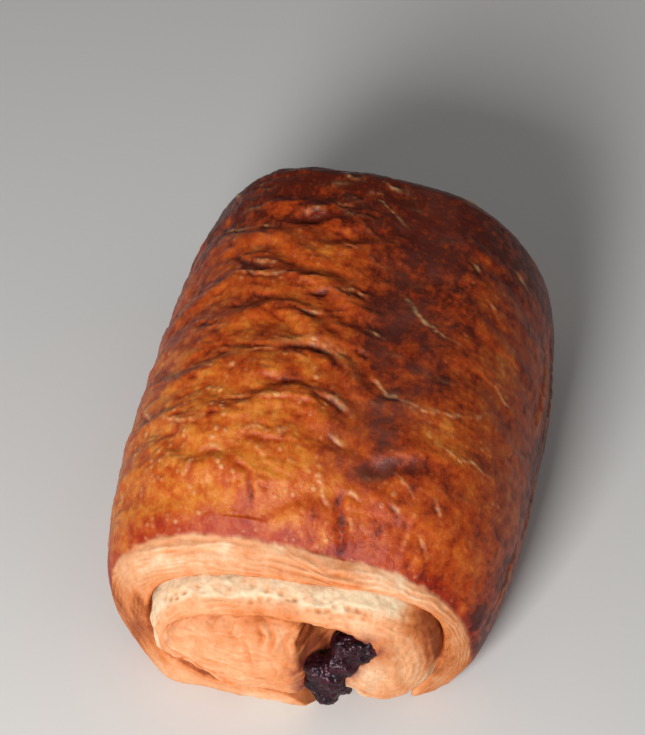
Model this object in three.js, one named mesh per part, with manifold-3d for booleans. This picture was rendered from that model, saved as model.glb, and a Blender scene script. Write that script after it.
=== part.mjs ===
// A pain au chocolat: one sheet of laminated dough rolled round a chocolate filling and baked to a pillow.
// The roll lies along Y with its shown end towards -Y. X runs across it to the right, and Z is up.
// It rests on z = 0.
// All sizes are in millimetres. The origin is the centre of the resting face of its bounding box.
import * as THREE from "three";
import { mergeVertices } from "three/addons/utils/BufferGeometryUtils.js";
import Module from "manifold-3d";

const wasm = await Module();
wasm.setup();

// Driving sizes of the baked roll.
const WIDTH = 79;
const HEIGHT = 48.5;
const LENGTH = 108;

// The two ends. rim is where the crust stops, tip how far the dough bulges out, top the height of the rim,
// and swell how late the body narrows towards it. The far end is the taller one.
const HALF_LENGTH = LENGTH / 2;
const STAND_OUT = 1.6;
const NEAR = { side: -1, rim: -38.3, tip: STAND_OUT - HALF_LENGTH, top: 35.2, swell: 3.15 };
const FAR = { side: 1, rim: 42.6, tip: HALF_LENGTH - 0.62, top: 47.6, swell: 3.8 };

// Both ends bend to the left of the middle by this much.
const BOW = 0.9;

// The section at the near rim. Everywhere else the section is this one, scaled.
const RIM_HALF_WIDTH = 35.5;
const RIM_TOP = NEAR.top;
const WIDEST_LEVEL = 10.8;
const TOP_ROUNDNESS = 2.2;
const BASE_ROUNDNESS = 3.65;
const BASE_SINK = 0.7;

// The top has two low humps with a trough between them, over the two turns of the roll.
const HUMPS = [
  { x: -14, reach: 12, rise: 0.7 },
  { x: 10, reach: 7, rise: -1.5 },
  { x: 24, reach: 8, rise: 0.6 },
];

// The folds across the crust: how far they rise and sink, the spacing of the wide and the narrow ones and
// how far they wander along Y, then the heights between which they set in, where they end and how much
// of them is left on the right.
const FOLD_RISE = 0.65;
const FOLDS = { wide: 10.1, narrow: 6.1, wander: 2.4, waver: 1.3 };
const FOLDED = { from: 12, to: 26, end: 30, fade: 10, right: 0.4 };

// The end face leans out from the rim down to this level, and tucks back a little under it.
const BULGE_LEVEL = 5.4;
const TUCK = 0.69;
const BULGE_CURVE = 2.65;
const BULGE_ROUNDNESS = 2.67;

// The line between the outer turn and the turn inside it, as a rounded oval in the rim section.
const SLIT = { x: 3.1, z: 16, halfWidth: 27.3, top: 13.9, bottom: 7.2 };
const SLIT_TOP_ROUNDNESS = 2.45;
const SLIT_BASE_ROUNDNESS = 3.4;

// The outer turn starts at its tail under the right side, and ends beside the filling.
const TAIL_X = 22;
const TURN_END_X = 6;
const END_TAPER = 0.045;

// The turn inside it, from the curled tip beside the filling, up the right side, over and down to the left:
// the middle of the dough, and half its thickness.
const INNER_TURN = [
  { x: 15.0, z: 13.2, half: 1.0 },
  { x: 16.9, z: 12.6, half: 2.7 },
  { x: 19.6, z: 12.2, half: 4.6 },
  { x: 22.9, z: 13.5, half: 5.9 },
  { x: 24.0, z: 17.8, half: 5.6 },
  { x: 22.0, z: 22.6, half: 4.6 },
  { x: 17.0, z: 25.8, half: 3.6 },
  { x: 10.0, z: 27.0, half: 2.7 },
  { x: 2.5, z: 27.4, half: 2.6 },
  { x: -5.0, z: 27.0, half: 2.8 },
  { x: -13.0, z: 25.3, half: 3.0 },
  { x: -18.8, z: 21.8, half: 2.9 },
  { x: -22.0, z: 16.4, half: 2.0 },
  { x: -22.6, z: 11.2, half: 1.2 },
];

// The folded core on the left, from its left tip to the filling.
const CORE = [
  { x: -21.2, z: 11.4, half: 1.6 },
  { x: -17.5, z: 13.8, half: 4.7 },
  { x: -12.0, z: 16.0, half: 6.7 },
  { x: -5.0, z: 16.8, half: 7.6 },
  { x: 1.5, z: 17.1, half: 7.7 },
  { x: 6.0, z: 16.4, half: 5.6 },
  { x: 8.0, z: 16.0, half: 3.2 },
];

// How each turn shows at the ends: how far it stands out, and how round its edges are.
const OUTER_FACE = { out: 0, round: 1.9 };
const INNER_FACE = { out: STAND_OUT, round: 2.6 };
const CORE_FACE = { out: 0.9, round: 3.2 };

// Behind the slits the turns are baked together: they thicken by this much, over this depth.
const FUSE = 1.5;
const FUSE_START = 2.5;
const FUSE_DEPTH = 6;

// Dough that closes the middle of the roll round the filling, behind both end faces.
const HEART = { x: 16.6, z: 13.1, halfWidth: 13.4, halfHeight: 12.4, near: -43, far: 43, round: 9 };
const HEART_ROUNDNESS = 3.4;

// The filling: a flattened bar through the roll, and the lumps that it boiled out into at each end.
const BAR = { x: 11.4, z: 17.1, halfWidth: 5, halfHeight: 4.2, near: -46, far: 47 };
const NEAR_LUMPS = [
  { at: [17.0, -47.0, 21.4], size: [3.0, 2.6, 2.3] },
  { at: [12.9, -47.4, 21.8], size: [3.2, 2.9, 2.8] },
  { at: [12.7, -49.6, 17.4], size: [2.8, 2.7, 3.5] },
  { at: [8.2, -50.7, 17.4], size: [2.8, 2.6, 2.9] },
  { at: [10.5, -51.0, 14.2], size: [3.6, 2.8, 3.3] },
  { at: [8.1, -51.5, 12.4], size: [2.3, 2.0, 2.4] },
  { at: [11.2, -51.5, 8.9], size: [3.0, 2.5, 3.6] },
];
const FAR_LUMPS = [
  { at: [12.0, 48.4, 19.0], size: [4.6, 2.8, 4.0] },
  { at: [8.6, 49.4, 16.6], size: [2.6, 2.2, 2.6] },
  { at: [14.8, 48.6, 22.4], size: [2.6, 2.4, 2.3] },
];
const CLEARANCE = 0.3;

// How finely each turn is divided: along its length, along Y on each side, and over each end face.
const OUTER_STEPS = { along: 80, outside: 19, inside: 5, face: 7 };
const INNER_STEPS = { along: 46, outside: 5, inside: 5, face: 8 };
const CORE_STEPS = { along: 22, outside: 5, inside: 5, face: 9 };
const FINE = 720;

const lerp = (a, b, t) => a + (b - a) * t;
const mix = (p, q, t) => ({ x: lerp(p.x, q.x, t), z: lerp(p.z, q.z, t) });
const smooth = (t) => THREE.MathUtils.smoothstep(t, 0, 1);
const signedPower = (v, p) => Math.sign(v) * Math.abs(v) ** p;

// How far the body has swelled at y: 0 at and past each rim, 1 in the middle.
function swell(y) {
  const end = y < 0 ? NEAR : FAR;
  return 1 - Math.min(1, Math.abs(y / end.rim)) ** end.swell;
}

// Carries a point of the rim section to the section at y.
function place(x, z, y) {
  const end = y < 0 ? NEAR : FAR;
  const across = lerp(1, WIDTH / 2 / RIM_HALF_WIDTH, swell(y));
  const up = lerp(end.top, HEIGHT - FOLD_RISE, swell(y)) / RIM_TOP;
  return new THREE.Vector3(x * across - BOW * (1 - swell(y)), y, z * up);
}

// The outside of the roll in the rim section, at an angle from the right, counter-clockwise.
function outside(angle) {
  const c = Math.cos(angle);
  const s = Math.sin(angle);
  const power = 2 / (s >= 0 ? TOP_ROUNDNESS : BASE_ROUNDNESS);
  const reach = s >= 0 ? RIM_TOP - WIDEST_LEVEL : WIDEST_LEVEL + BASE_SINK;
  const x = RIM_HALF_WIDTH * signedPower(c, power);
  let z = WIDEST_LEVEL + reach * signedPower(s, power);
  if (s > 0) {
    for (const hump of HUMPS) z += hump.rise * s * Math.exp(-(((x - hump.x) / hump.reach) ** 2));
  }
  return { x, z };
}

// The slit between the outer turn and the inner one, at the same angle.
function slit(angle) {
  const c = Math.cos(angle);
  const s = Math.sin(angle);
  const power = 2 / (s >= 0 ? SLIT_TOP_ROUNDNESS : SLIT_BASE_ROUNDNESS);
  return {
    x: SLIT.x + SLIT.halfWidth * signedPower(c, power),
    z: SLIT.z + (s >= 0 ? SLIT.top : SLIT.bottom) * signedPower(s, power),
  };
}

// The shallow folds that run across the crust, strongest on the left hump and gone under the roll.
function folds(point) {
  const { x, y, z } = point;
  const wander = FOLDS.wander * Math.sin(x / 6 + y / 11) + FOLDS.waver * Math.sin(x / 3.2 - y / 4.3 + 2.1);
  const turn = 2 * Math.PI * (y + wander);
  const ripple = (Math.sin(turn / FOLDS.wide) + 0.5 * Math.sin(turn / FOLDS.narrow + x / 4.8 + 1.3)) / 1.5;
  const high = smooth((z - FOLDED.from) / (FOLDED.to - FOLDED.from));
  const left = lerp(1, FOLDED.right, smooth((x + 2) / 14));
  const inside = 1 - smooth((Math.abs(y) - FOLDED.end) / FOLDED.fade);
  return FOLD_RISE * ripple * high * left * inside;
}

// How far out the end face stands at a point of the rim section.
function face(x, z, end) {
  const above = (z - BULGE_LEVEL) / (RIM_TOP - BULGE_LEVEL);
  const below = ((BULGE_LEVEL - z) / BULGE_LEVEL) * TUCK;
  const height = Math.max(above, below, 0);
  const aside = Math.abs(x / RIM_HALF_WIDTH);
  const share = (aside ** BULGE_ROUNDNESS + height ** BULGE_ROUNDNESS) ** (1 / BULGE_ROUNDNESS);
  return end.tip + (end.rim - end.tip) * Math.min(share, 1.1) ** BULGE_CURVE;
}

// A closed mesh as a solid.
function solidFrom(vertProperties, triVerts) {
  return new wasm.Manifold(new wasm.Mesh({ numProp: 3, vertProperties, triVerts }));
}

// Joins closed rings of equally many points into one closed solid, with a fan over each end.
function solidFromRings(rings) {
  const size = rings[0].length;
  const positions = rings.flat().flatMap((p) => [p.x, p.y, p.z]);
  const triangles = [];
  for (let i = 0; i + 1 < rings.length; i++) {
    for (let j = 0; j < size; j++) {
      const a = i * size + j;
      const b = i * size + ((j + 1) % size);
      triangles.push(a, b, a + size, b, b + size, a + size);
    }
  }
  for (const [ring, turned] of [[rings[0], false], [rings.at(-1), true]]) {
    const centre = ring.reduce((sum, p) => sum.add(p), new THREE.Vector3()).divideScalar(size);
    const middle = positions.length / 3;
    const first = turned ? (rings.length - 1) * size : 0;
    positions.push(centre.x, centre.y, centre.z);
    for (let j = 0; j < size; j++) {
      const a = first + j;
      const b = first + ((j + 1) % size);
      triangles.push(...(turned ? [middle, a, b] : [middle, b, a]));
    }
  }
  return solidFrom(new Float32Array(positions), new Uint32Array(triangles));
}

// One turn of the dough as a solid. edges(t) gives its outer and inner line in the rim section, for t
// from 0 to 1.
function turnSolid(edges, look, steps, crust = () => 0) {
  const rings = [];
  for (let i = 0; i <= steps.along; i++) {
    const { outer, inner } = edges(i / steps.along);
    const half = Math.hypot(outer.x - inner.x, outer.z - inner.z) / 2;
    const across = (n) => mix(inner, outer, (n + 1) / 2);
    const round = Math.min(look.round, half);
    const faceAt = (n, end) => {
      const { x, z } = across(n);
      const edge = Math.max(0, (Math.abs(n) - 1) * (half / round) + 1);
      const back = round * (1 - Math.sqrt(1 - edge ** 2));
      return face(x, z, end) + end.side * (look.out - back);
    };
    const thicker = (n, y) => {
      const depth = Math.min(y - faceAt(n, NEAR), faceAt(n, FAR) - y);
      return n + Math.sign(n) * (FUSE / half) * smooth((depth - FUSE_START) / FUSE_DEPTH);
    };
    const ring = [];
    const side = (n, count, fused, backwards) => {
      const near = faceAt(n, NEAR);
      const far = faceAt(n, FAR);
      for (let j = 0; j < count; j++) {
        const even = (j + 0.5) / count;
        const t = lerp(even, 0.5 - 0.5 * Math.cos(Math.PI * even), 0.6);
        const y = lerp(near, far, backwards ? 1 - t : t);
        const at = across(fused ? thicker(n, y) : n);
        const point = place(at.x, at.z, y);
        if (n > 0) point.z += crust(point);
        ring.push(point);
      }
    };
    const cap = (from, end) => {
      for (let j = 0; j <= steps.face; j++) {
        const n = from * Math.cos((Math.PI * j) / steps.face);
        const y = faceAt(n, end);
        const { x, z } = across(n);
        ring.push(place(x, z, y));
      }
    };
    side(1, steps.outside, !look.crust, false);
    cap(1, FAR);
    side(-1, steps.inside, true, true);
    cap(-1, NEAR);
    rings.push(ring);
  }
  return solidFromRings(rings);
}

// The outer turn, between the outside of the roll and the slit, with even steps along the outside.
function outerTurn() {
  const power = BASE_ROUNDNESS / 2;
  const tail = -Math.acos((TAIL_X / RIM_HALF_WIDTH) ** power);
  const end = (3 * Math.PI) / 2 + Math.asin((TURN_END_X / RIM_HALF_WIDTH) ** power);
  const angles = [tail];
  const lengths = [0];
  for (let i = 1; i <= FINE; i++) {
    const angle = lerp(tail, end, i / FINE);
    const a = outside(angles.at(-1));
    const b = outside(angle);
    lengths.push(lengths.at(-1) + Math.hypot(a.x - b.x, a.z - b.z));
    angles.push(angle);
  }
  const edges = (t) => {
    const wanted = t * lengths.at(-1);
    let i = 1;
    while (i < FINE && lengths[i] < wanted) i++;
    const share = (wanted - lengths[i - 1]) / (lengths[i] - lengths[i - 1]);
    const angle = lerp(angles[i - 1], angles[i], share);
    const outer = outside(angle);
    const inner = slit(angle);
    const nearEnd = Math.min(1, Math.min(t, 1 - t) / END_TAPER);
    const taper = lerp(0.35, 1, Math.sqrt(1 - (1 - nearEnd) ** 2));
    return { outer, inner: mix(outer, inner, taper) };
  };
  return turnSolid(edges, { ...OUTER_FACE, crust: true }, OUTER_STEPS, folds);
}

// A turn that follows a line of points with a half thickness, its outer edge on the right of the line.
function turnAlong(stations, look, steps) {
  const line = new THREE.CatmullRomCurve3(
    stations.map((s) => new THREE.Vector3(s.x, s.half, s.z)),
    false,
    "catmullrom",
    0.5,
  );
  const edges = (t) => {
    const middle = line.getPoint(t);
    const ahead = line.getTangent(t);
    const length = Math.hypot(ahead.x, ahead.z);
    const out = { x: (ahead.z / length) * middle.y, z: (-ahead.x / length) * middle.y };
    return {
      outer: { x: middle.x + out.x, z: middle.z + out.z },
      inner: { x: middle.x - out.x, z: middle.z - out.z },
    };
  };
  return turnSolid(edges, look, steps);
}

// A three.js geometry as a solid.
function solidOf(geometry) {
  const bare = geometry.index ? geometry.toNonIndexed() : geometry.clone();
  bare.deleteAttribute("normal");
  bare.deleteAttribute("uv");
  const merged = mergeVertices(bare, 1e-4);
  return solidFrom(merged.getAttribute("position").array, new Uint32Array(merged.index.array));
}

// A rounded lump with the given centre and half sizes.
function lump({ at, size }, grow, fineness) {
  const geometry = new THREE.IcosahedronGeometry(1, fineness);
  geometry.scale(...size.map((half) => half + grow));
  geometry.translate(...at);
  return solidOf(geometry);
}

// A bar along Y with a rounded section.
function bar({ x, z, halfWidth, halfHeight, near, far }, grow, sides = 16) {
  const geometry = new THREE.CylinderGeometry(1, 1, far - near + 2 * grow, sides, 8);
  geometry.scale(halfWidth + grow, 1, halfHeight + grow);
  geometry.translate(x, (near + far) / 2, z);
  return solidOf(geometry);
}

// The filling, grown by the clearance where it is cut out of the dough.
function filling(grow) {
  const near = NEAR_LUMPS.map((piece) => lump(piece, grow, 2));
  const far = FAR_LUMPS.map((piece) => lump(piece, grow, 1));
  return [...near, ...far].reduce((whole, piece) => whole.add(piece), bar(BAR, grow));
}

// The dough in the heart of the roll, a rounded bolster.
function heart() {
  const geometry = new THREE.CapsuleGeometry(1, 1, 4, 20);
  const length = HEART.far - HEART.near;
  const position = geometry.getAttribute("position");
  for (let i = 0; i < position.count; i++) {
    const [x, y, z] = [position.getX(i), position.getY(i), position.getZ(i)];
    const radius = Math.hypot(x, z);
    const squarer = (v) => (radius > 0 ? radius * signedPower(v / radius, 2 / HEART_ROUNDNESS) : 0);
    const rounding = (Math.abs(y) - 0.5) * HEART.round;
    position.setXYZ(
      i,
      HEART.halfWidth * squarer(x),
      Math.sign(y) * (length / 2 - HEART.round + rounding),
      HEART.halfHeight * squarer(z),
    );
  }
  geometry.translate(HEART.x, (HEART.near + HEART.far) / 2, HEART.z);
  return solidOf(geometry);
}

// The largest body of a solid, without the hollows sealed inside it.
function mainBody(solid) {
  return solid.decompose().reduce((best, body) => (body.volume() > best.volume() ? body : best));
}

// A solid as a named mesh.
function meshOf(name, solid, material) {
  const { vertProperties, triVerts } = solid.getMesh();
  const geometry = new THREE.BufferGeometry();
  geometry.setAttribute("position", new THREE.BufferAttribute(vertProperties, 3));
  geometry.setIndex(new THREE.BufferAttribute(triVerts, 1));
  geometry.computeVertexNormals();
  const mesh = new THREE.Mesh(geometry, material);
  mesh.name = name;
  return mesh;
}

// The part of a solid above the surface that the roll rests on.
function flatBase(solid) {
  const geometry = new THREE.BoxGeometry(4 * WIDTH, 4 * LENGTH, HEIGHT);
  geometry.translate(0, 0, -HEIGHT / 2);
  return solid.subtract(solidOf(geometry));
}

const crustMaterial = new THREE.MeshStandardMaterial({ color: 0xb5622a, roughness: 0.45, metalness: 0 });
const chocolateMaterial = new THREE.MeshStandardMaterial({ color: 0x2a1513, roughness: 0.35, metalness: 0 });

const dough = outerTurn()
  .add(turnAlong(INNER_TURN, INNER_FACE, INNER_STEPS))
  .add(turnAlong(CORE, CORE_FACE, CORE_STEPS))
  .add(heart());
const pastry = mainBody(flatBase(mainBody(dough)).subtract(filling(CLEARANCE)));
const chocolate = mainBody(filling(0));

const painAuChocolat = new THREE.Group();
painAuChocolat.add(meshOf("pastry", pastry, crustMaterial));
painAuChocolat.add(meshOf("chocolate", chocolate, chocolateMaterial));

export default painAuChocolat;
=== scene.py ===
"""Dresses a pain au chocolat: a browned roll of laminated dough with chocolate boiling out of its open ends.

The roll lies along Y with its shown end towards -Y, X runs across it to the right and Z is up. Sizes in the
classes below are in millimetres, and meshes are made in metres.
"""

import logging
import math
from dataclasses import dataclass, field
from enum import Enum
from itertools import product

import bmesh
import bpy
import numpy as np
from mathutils import Matrix, Vector


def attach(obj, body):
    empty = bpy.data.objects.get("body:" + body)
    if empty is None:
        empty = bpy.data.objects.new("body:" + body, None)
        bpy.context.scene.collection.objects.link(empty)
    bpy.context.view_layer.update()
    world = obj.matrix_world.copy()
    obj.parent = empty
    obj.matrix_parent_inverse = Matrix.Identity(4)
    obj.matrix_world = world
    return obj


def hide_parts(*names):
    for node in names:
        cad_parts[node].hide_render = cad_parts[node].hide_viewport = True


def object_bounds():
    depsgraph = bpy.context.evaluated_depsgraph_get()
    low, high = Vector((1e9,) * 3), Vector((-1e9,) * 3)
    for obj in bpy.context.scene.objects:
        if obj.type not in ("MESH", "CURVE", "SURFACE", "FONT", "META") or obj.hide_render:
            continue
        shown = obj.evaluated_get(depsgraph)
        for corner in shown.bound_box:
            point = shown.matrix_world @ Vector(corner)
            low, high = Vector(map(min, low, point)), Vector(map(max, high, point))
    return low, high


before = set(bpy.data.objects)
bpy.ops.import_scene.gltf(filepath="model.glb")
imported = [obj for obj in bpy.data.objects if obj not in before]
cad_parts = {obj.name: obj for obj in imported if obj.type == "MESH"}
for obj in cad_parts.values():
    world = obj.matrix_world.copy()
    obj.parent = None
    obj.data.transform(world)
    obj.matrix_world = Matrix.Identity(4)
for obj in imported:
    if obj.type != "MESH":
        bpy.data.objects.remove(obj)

CAD_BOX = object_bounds()
MILLIMETRE = 0.001
PICTURE_WIDTH = 645
PICTURE_HEIGHT = 735
SEED = 20
ROLL_HEIGHT = 48.5
FAR_WRAP = 6.4
PAST_ALL = 20.0
END_FADE = 0.6
LIP_PLACE = 1.5
LIP_WIDTH = 1.1
STAIN_SPREAD = 1.05
log = logging.getLogger("pain_au_chocolat")

Array = np.ndarray
Values = Array | float
Colour = tuple[float, float, float]
Pair = tuple[float, float]
Triple = tuple[float, float, float]
Line = tuple[Pair, ...]
Object = bpy.types.Object
Material = bpy.types.Material
Socket = bpy.types.NodeSocket
Tint = Socket | Colour


class Zone(Enum):
    """Which face of a turn of dough a point lies on."""

    OUTSIDE = 0
    FAR_FACE = 1
    INSIDE = 2
    NEAR_FACE = 3


class Region(Enum):
    """How a turn of dough is finished on its outside."""

    CRUST = "crust"
    DOUGH = "dough"


def blend(a: Values, b: Values, t: Values) -> Values:
    """The value a share t of the way from a to b."""
    return a + (b - a) * t


def smooth(t: Values) -> Values:
    """An eased step from 0 at t = 0 to 1 at t = 1."""
    t = np.clip(t, 0.0, 1.0)
    return t * t * (3 - 2 * t)


def ramp(value: Values, start: Values, length: Values) -> Values:
    """An eased step from 0 at a start to 1 a length further on, or back from it if the length is negative."""
    return smooth((value - start) / length)


def bell(value: Values, centre: float, reach: float) -> Values:
    """A rounded mound that is 1 at its centre and 0.37 at its reach."""
    return np.exp(-(((value - centre) / reach) ** 2))


def signed_power(value: Array, power: Values) -> Array:
    """A power that keeps the sign of its base."""
    return np.sign(value) * np.abs(value) ** power


def rounded(angle: Array, half: float, heights: Pair, roundness: Pair) -> tuple[Array, Array]:
    """A rounded box at angles from the right, its heights and roundness above and below, as x and z."""
    upper = np.sin(angle) >= 0
    power = 2 / np.where(upper, *roundness)
    height = np.where(upper, *heights) * signed_power(np.sin(angle), power)
    return half * signed_power(np.cos(angle), power), height


def walk(points: Array, weight: Values = 1.0) -> Array:
    """How far along a line of points each one lies, with every step counted by its weight."""
    steps = np.linalg.norm(np.diff(points, axis=0), axis=1) * weight
    return np.concatenate(([0.0], np.cumsum(steps)))


def outward(azimuth: float, elevation: float) -> Vector:
    """The direction away from the roll at an azimuth and an elevation in degrees."""
    a, e = math.radians(azimuth), math.radians(elevation)
    return Vector((math.sin(a) * math.cos(e), -math.cos(a) * math.cos(e), math.sin(e)))


def add_object(name: str, data: bpy.types.ID) -> Object:
    """Puts a new object into the scene."""
    piece = bpy.data.objects.new(name, data)
    bpy.context.scene.collection.objects.link(piece)
    return piece


def add_shape(name: str, shape: bmesh.types.BMesh) -> Object:
    """Puts a modelled shape into the scene and frees it."""
    mesh = bpy.data.meshes.new(name)
    shape.to_mesh(mesh)
    shape.free()
    return add_object(name, mesh)


class Grain:
    """Smooth random relief in three dimensions, the same on every run."""

    gain = 1.7
    scatter = 0.45

    def __init__(self, seed: int) -> None:
        """Draws the slopes of the relief.

        Args:
            seed: The number that the random draws start from.
        """
        draw = np.random.default_rng(seed)
        self.order = draw.permutation(256)
        slopes = draw.normal(size=(256, 3))
        self.slopes = slopes / np.linalg.norm(slopes, axis=1, keepdims=True)

    def hashed(self, cell: Array) -> Array:
        """A fixed number from 0 to 255 for each whole-number cell."""
        first = self.order[cell[..., 0] & 255]
        second = self.order[(first + cell[..., 1]) & 255]
        return self.order[(second + cell[..., 2]) & 255]

    def at(self, *coordinates: Values) -> Array:
        """The relief at points.

        Args:
            coordinates: Two or three arrays of coordinates, with one wave for each unit.

        Returns:
            Heights of about -1 to 1, with a mean of 0.
        """
        spread = np.broadcast_arrays(*coordinates, 0.0)[:3]
        points = np.stack(spread, axis=-1).astype(float)
        cell = np.floor(points).astype(int)
        part = points - cell
        ease = part**3 * (part * (part * 6 - 15) + 10)
        total = np.zeros(points.shape[:-1])
        for corner in product((0, 1), repeat=3):
            step = np.array(corner)
            weight = np.prod(np.where(step == 1, ease, 1 - ease), axis=-1)
            slope = self.slopes[self.hashed(cell + step)]
            total += weight * np.sum(slope * (part - step), axis=-1)
        return total * self.gain

    def layered(self, octaves: int, *coordinates: Values) -> Array:
        """Relief with finer relief on it, each octave half as high and half as wide.

        Args:
            octaves: How many layers there are.
            coordinates: Two or three arrays of coordinates.

        Returns:
            Heights of about -1 to 1.
        """
        total = np.zeros(np.broadcast(*coordinates).shape)
        for octave in range(octaves):
            scaled = [np.asarray(c) * 2.0**octave + 17.3 * octave for c in coordinates]
            total = total + self.at(*scaled) * 0.5**octave
        return total

    def cells(self, *coordinates: Values) -> tuple[Array, Array]:
        """Distances to scattered seeds, about one for each unit cell.

        Args:
            coordinates: Two arrays of coordinates.

        Returns:
            The distances to the nearest seed and to the second nearest.
        """
        u, v = np.broadcast_arrays(*coordinates)
        cell = np.floor(np.stack((u, v, np.zeros_like(u)), axis=-1)).astype(int)
        nearest = np.full(u.shape, 9.0)
        second = np.full(u.shape, 9.0)
        for step in product((-1, 0, 1), repeat=2):
            there = cell + np.array((*step, 0))
            number = self.hashed(there)
            seed_u = there[..., 0] + 0.5 + self.scatter * self.slopes[number, 0]
            seed_v = there[..., 1] + 0.5 + self.scatter * self.slopes[number, 1]
            distance = np.hypot(u - seed_u, v - seed_v)
            second = np.minimum(second, np.maximum(nearest, distance))
            nearest = np.minimum(nearest, distance)
        return nearest, second


@dataclass(frozen=True)
class End:
    """One end of the roll: where the crust stops, how far the dough bulges, and how the body narrows."""

    side: int
    rim: float
    tip: float
    top: float
    swell: float


@dataclass
class RollForm:
    """The form of the baked roll. Its near rim gives the section, which is scaled everywhere else."""

    width: float
    length: float
    height: float
    rim_half_width: float = 35.5
    widest_level: float = 10.8
    top_roundness: float = 2.2
    base_roundness: float = 3.65
    base_sink: float = 0.7
    humps: tuple[Triple, ...] = ((-14, 12, 0.7), (10, 7, -1.5), (24, 8, 0.6))
    slit_centre: Pair = (3.1, 16.0)
    slit_half_width: float = 27.3
    slit_heights: Pair = (13.9, 7.2)
    slit_roundness: Pair = (2.45, 3.4)
    bow: float = 0.9
    bulge_level: float = 5.4
    tuck: float = 0.69
    left_tuck: float = 0.55
    left_fullness: float = 1.8
    left_trim: float = 0.9
    far_trim: float = 0.4
    right_trims: tuple[Triple, ...] = ((26, 8, 0.9), (4, 14, 0.3))
    crown_drop: float = 0.65
    far_tilt: Pair = (1.2, 1.3)
    bulge_curve: float = 2.65
    bulge_roundness: float = 2.67
    near: End = field(init=False)
    far: End = field(init=False)

    def __post_init__(self) -> None:
        """Sets the two ends from the length and the height."""
        half = self.length / 2
        self.near = End(side=-1, rim=-38.3, tip=1.6 - half, top=35.2, swell=3.15)
        self.far = End(side=1, rim=42.6, tip=half - 0.62, top=self.height - 1.2, swell=3.8)

    def swell(self, y: Array) -> Array:
        """How far the body has swelled at y: 0 at and past each rim, 1 in the middle."""
        rim = np.where(y < 0, -self.near.rim, self.far.rim)
        power = np.where(y < 0, self.near.swell, self.far.swell)
        return 1 - np.minimum(1, np.abs(y) / rim) ** power

    def place(self, x: Array, z: Array, y: Array) -> Array:
        """Carries points of the rim section to the sections at y.

        Args:
            x: Coordinates across the rim section.
            z: Heights in the rim section.
            y: Where along the roll each point goes.

        Returns:
            Points with x, y and z in the last axis.
        """
        swelled = self.swell(y)
        across = blend(1.0, self.width / 2 / self.rim_half_width, swelled)
        top = np.where(y < 0, self.near.top, self.far.top)
        up = blend(top, self.height - self.crown_drop, swelled) / self.near.top
        left, right, far = ramp(x, -5, -15), ramp(x, 12, 16), ramp(y, 20, 22)
        tilt = self.far_tilt[0] * left - self.far_tilt[1] * right
        trim = self.far_trim * far
        for centre, reach, amount in self.right_trims:
            trim = trim + amount * bell(y, centre, reach)
        left_trim = self.left_trim * ramp(x, -18, -14)
        aside = x * across - self.bow * (1 - swelled) - right * trim + left_trim
        return np.stack((aside, y, z * up + far * z / self.near.top * tilt), axis=-1)

    def outside(self, angle: Array) -> Array:
        """The outside of the rim section at angles from the right, counter-clockwise, as x and z."""
        heights = (self.near.top - self.widest_level, self.widest_level + self.base_sink)
        x, z = rounded(angle, self.rim_half_width, heights, (self.top_roundness, self.base_roundness))
        z = self.widest_level + z
        for centre, reach, rise in self.humps:
            z = z + rise * np.maximum(np.sin(angle), 0) * bell(x, centre, reach)
        return np.stack((x, z), axis=-1)

    def slit(self, angle: Array) -> Array:
        """The slit between the outer turn and the inner one at the same angles, as x and z."""
        x, z = rounded(angle, self.slit_half_width, self.slit_heights, self.slit_roundness)
        return np.stack((self.slit_centre[0] + x, self.slit_centre[1] + z), axis=-1)

    def face(self, x: Array, z: Array, end: End) -> Array:
        """How far out an end face stands at points of the rim section, as y."""
        above = (z - self.bulge_level) / (self.near.top - self.bulge_level)
        tuck = blend(self.tuck, self.left_tuck, ramp(x, -10, -12) if end is self.near else 0.0)
        below = (self.bulge_level - z) / self.bulge_level * tuck
        height = np.maximum(np.maximum(above, below), 0)
        aside = np.abs(x / self.rim_half_width)
        share = (aside**self.bulge_roundness + height**self.bulge_roundness) ** (1 / self.bulge_roundness)
        out = end.tip + (end.rim - end.tip) * np.minimum(share, 1.1) ** self.bulge_curve
        if end is self.near:
            out = out - self.left_fullness * bell(x, -21, 6) * ramp(z, 13, -11)
        return out


@dataclass
class Grid:
    """A turn of dough as closed rings of points, one ring for each step along the turn."""

    points: Array
    along: Array
    depth: Array
    past: Array
    zone: Array
    half: Array

    def normals(self) -> Array:
        """The outward direction at each point, from its neighbours."""
        ring = np.roll(self.points, -1, axis=1) - np.roll(self.points, 1, axis=1)
        line = np.gradient(self.points, axis=0)
        normal = np.cross(ring, line)
        return normal / np.maximum(np.linalg.norm(normal, axis=-1, keepdims=True), 1e-9)

    def is_zone(self, zone: Zone) -> Array:
        """1 on one face of the turn and 0 elsewhere."""
        return (self.zone == zone.value)[None, :]


@dataclass(frozen=True)
class Steps:
    """How finely a turn is divided: along it, along Y on each side, and over each end face."""

    along: int
    outside: int
    inside: int
    near: int
    far: int


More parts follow.
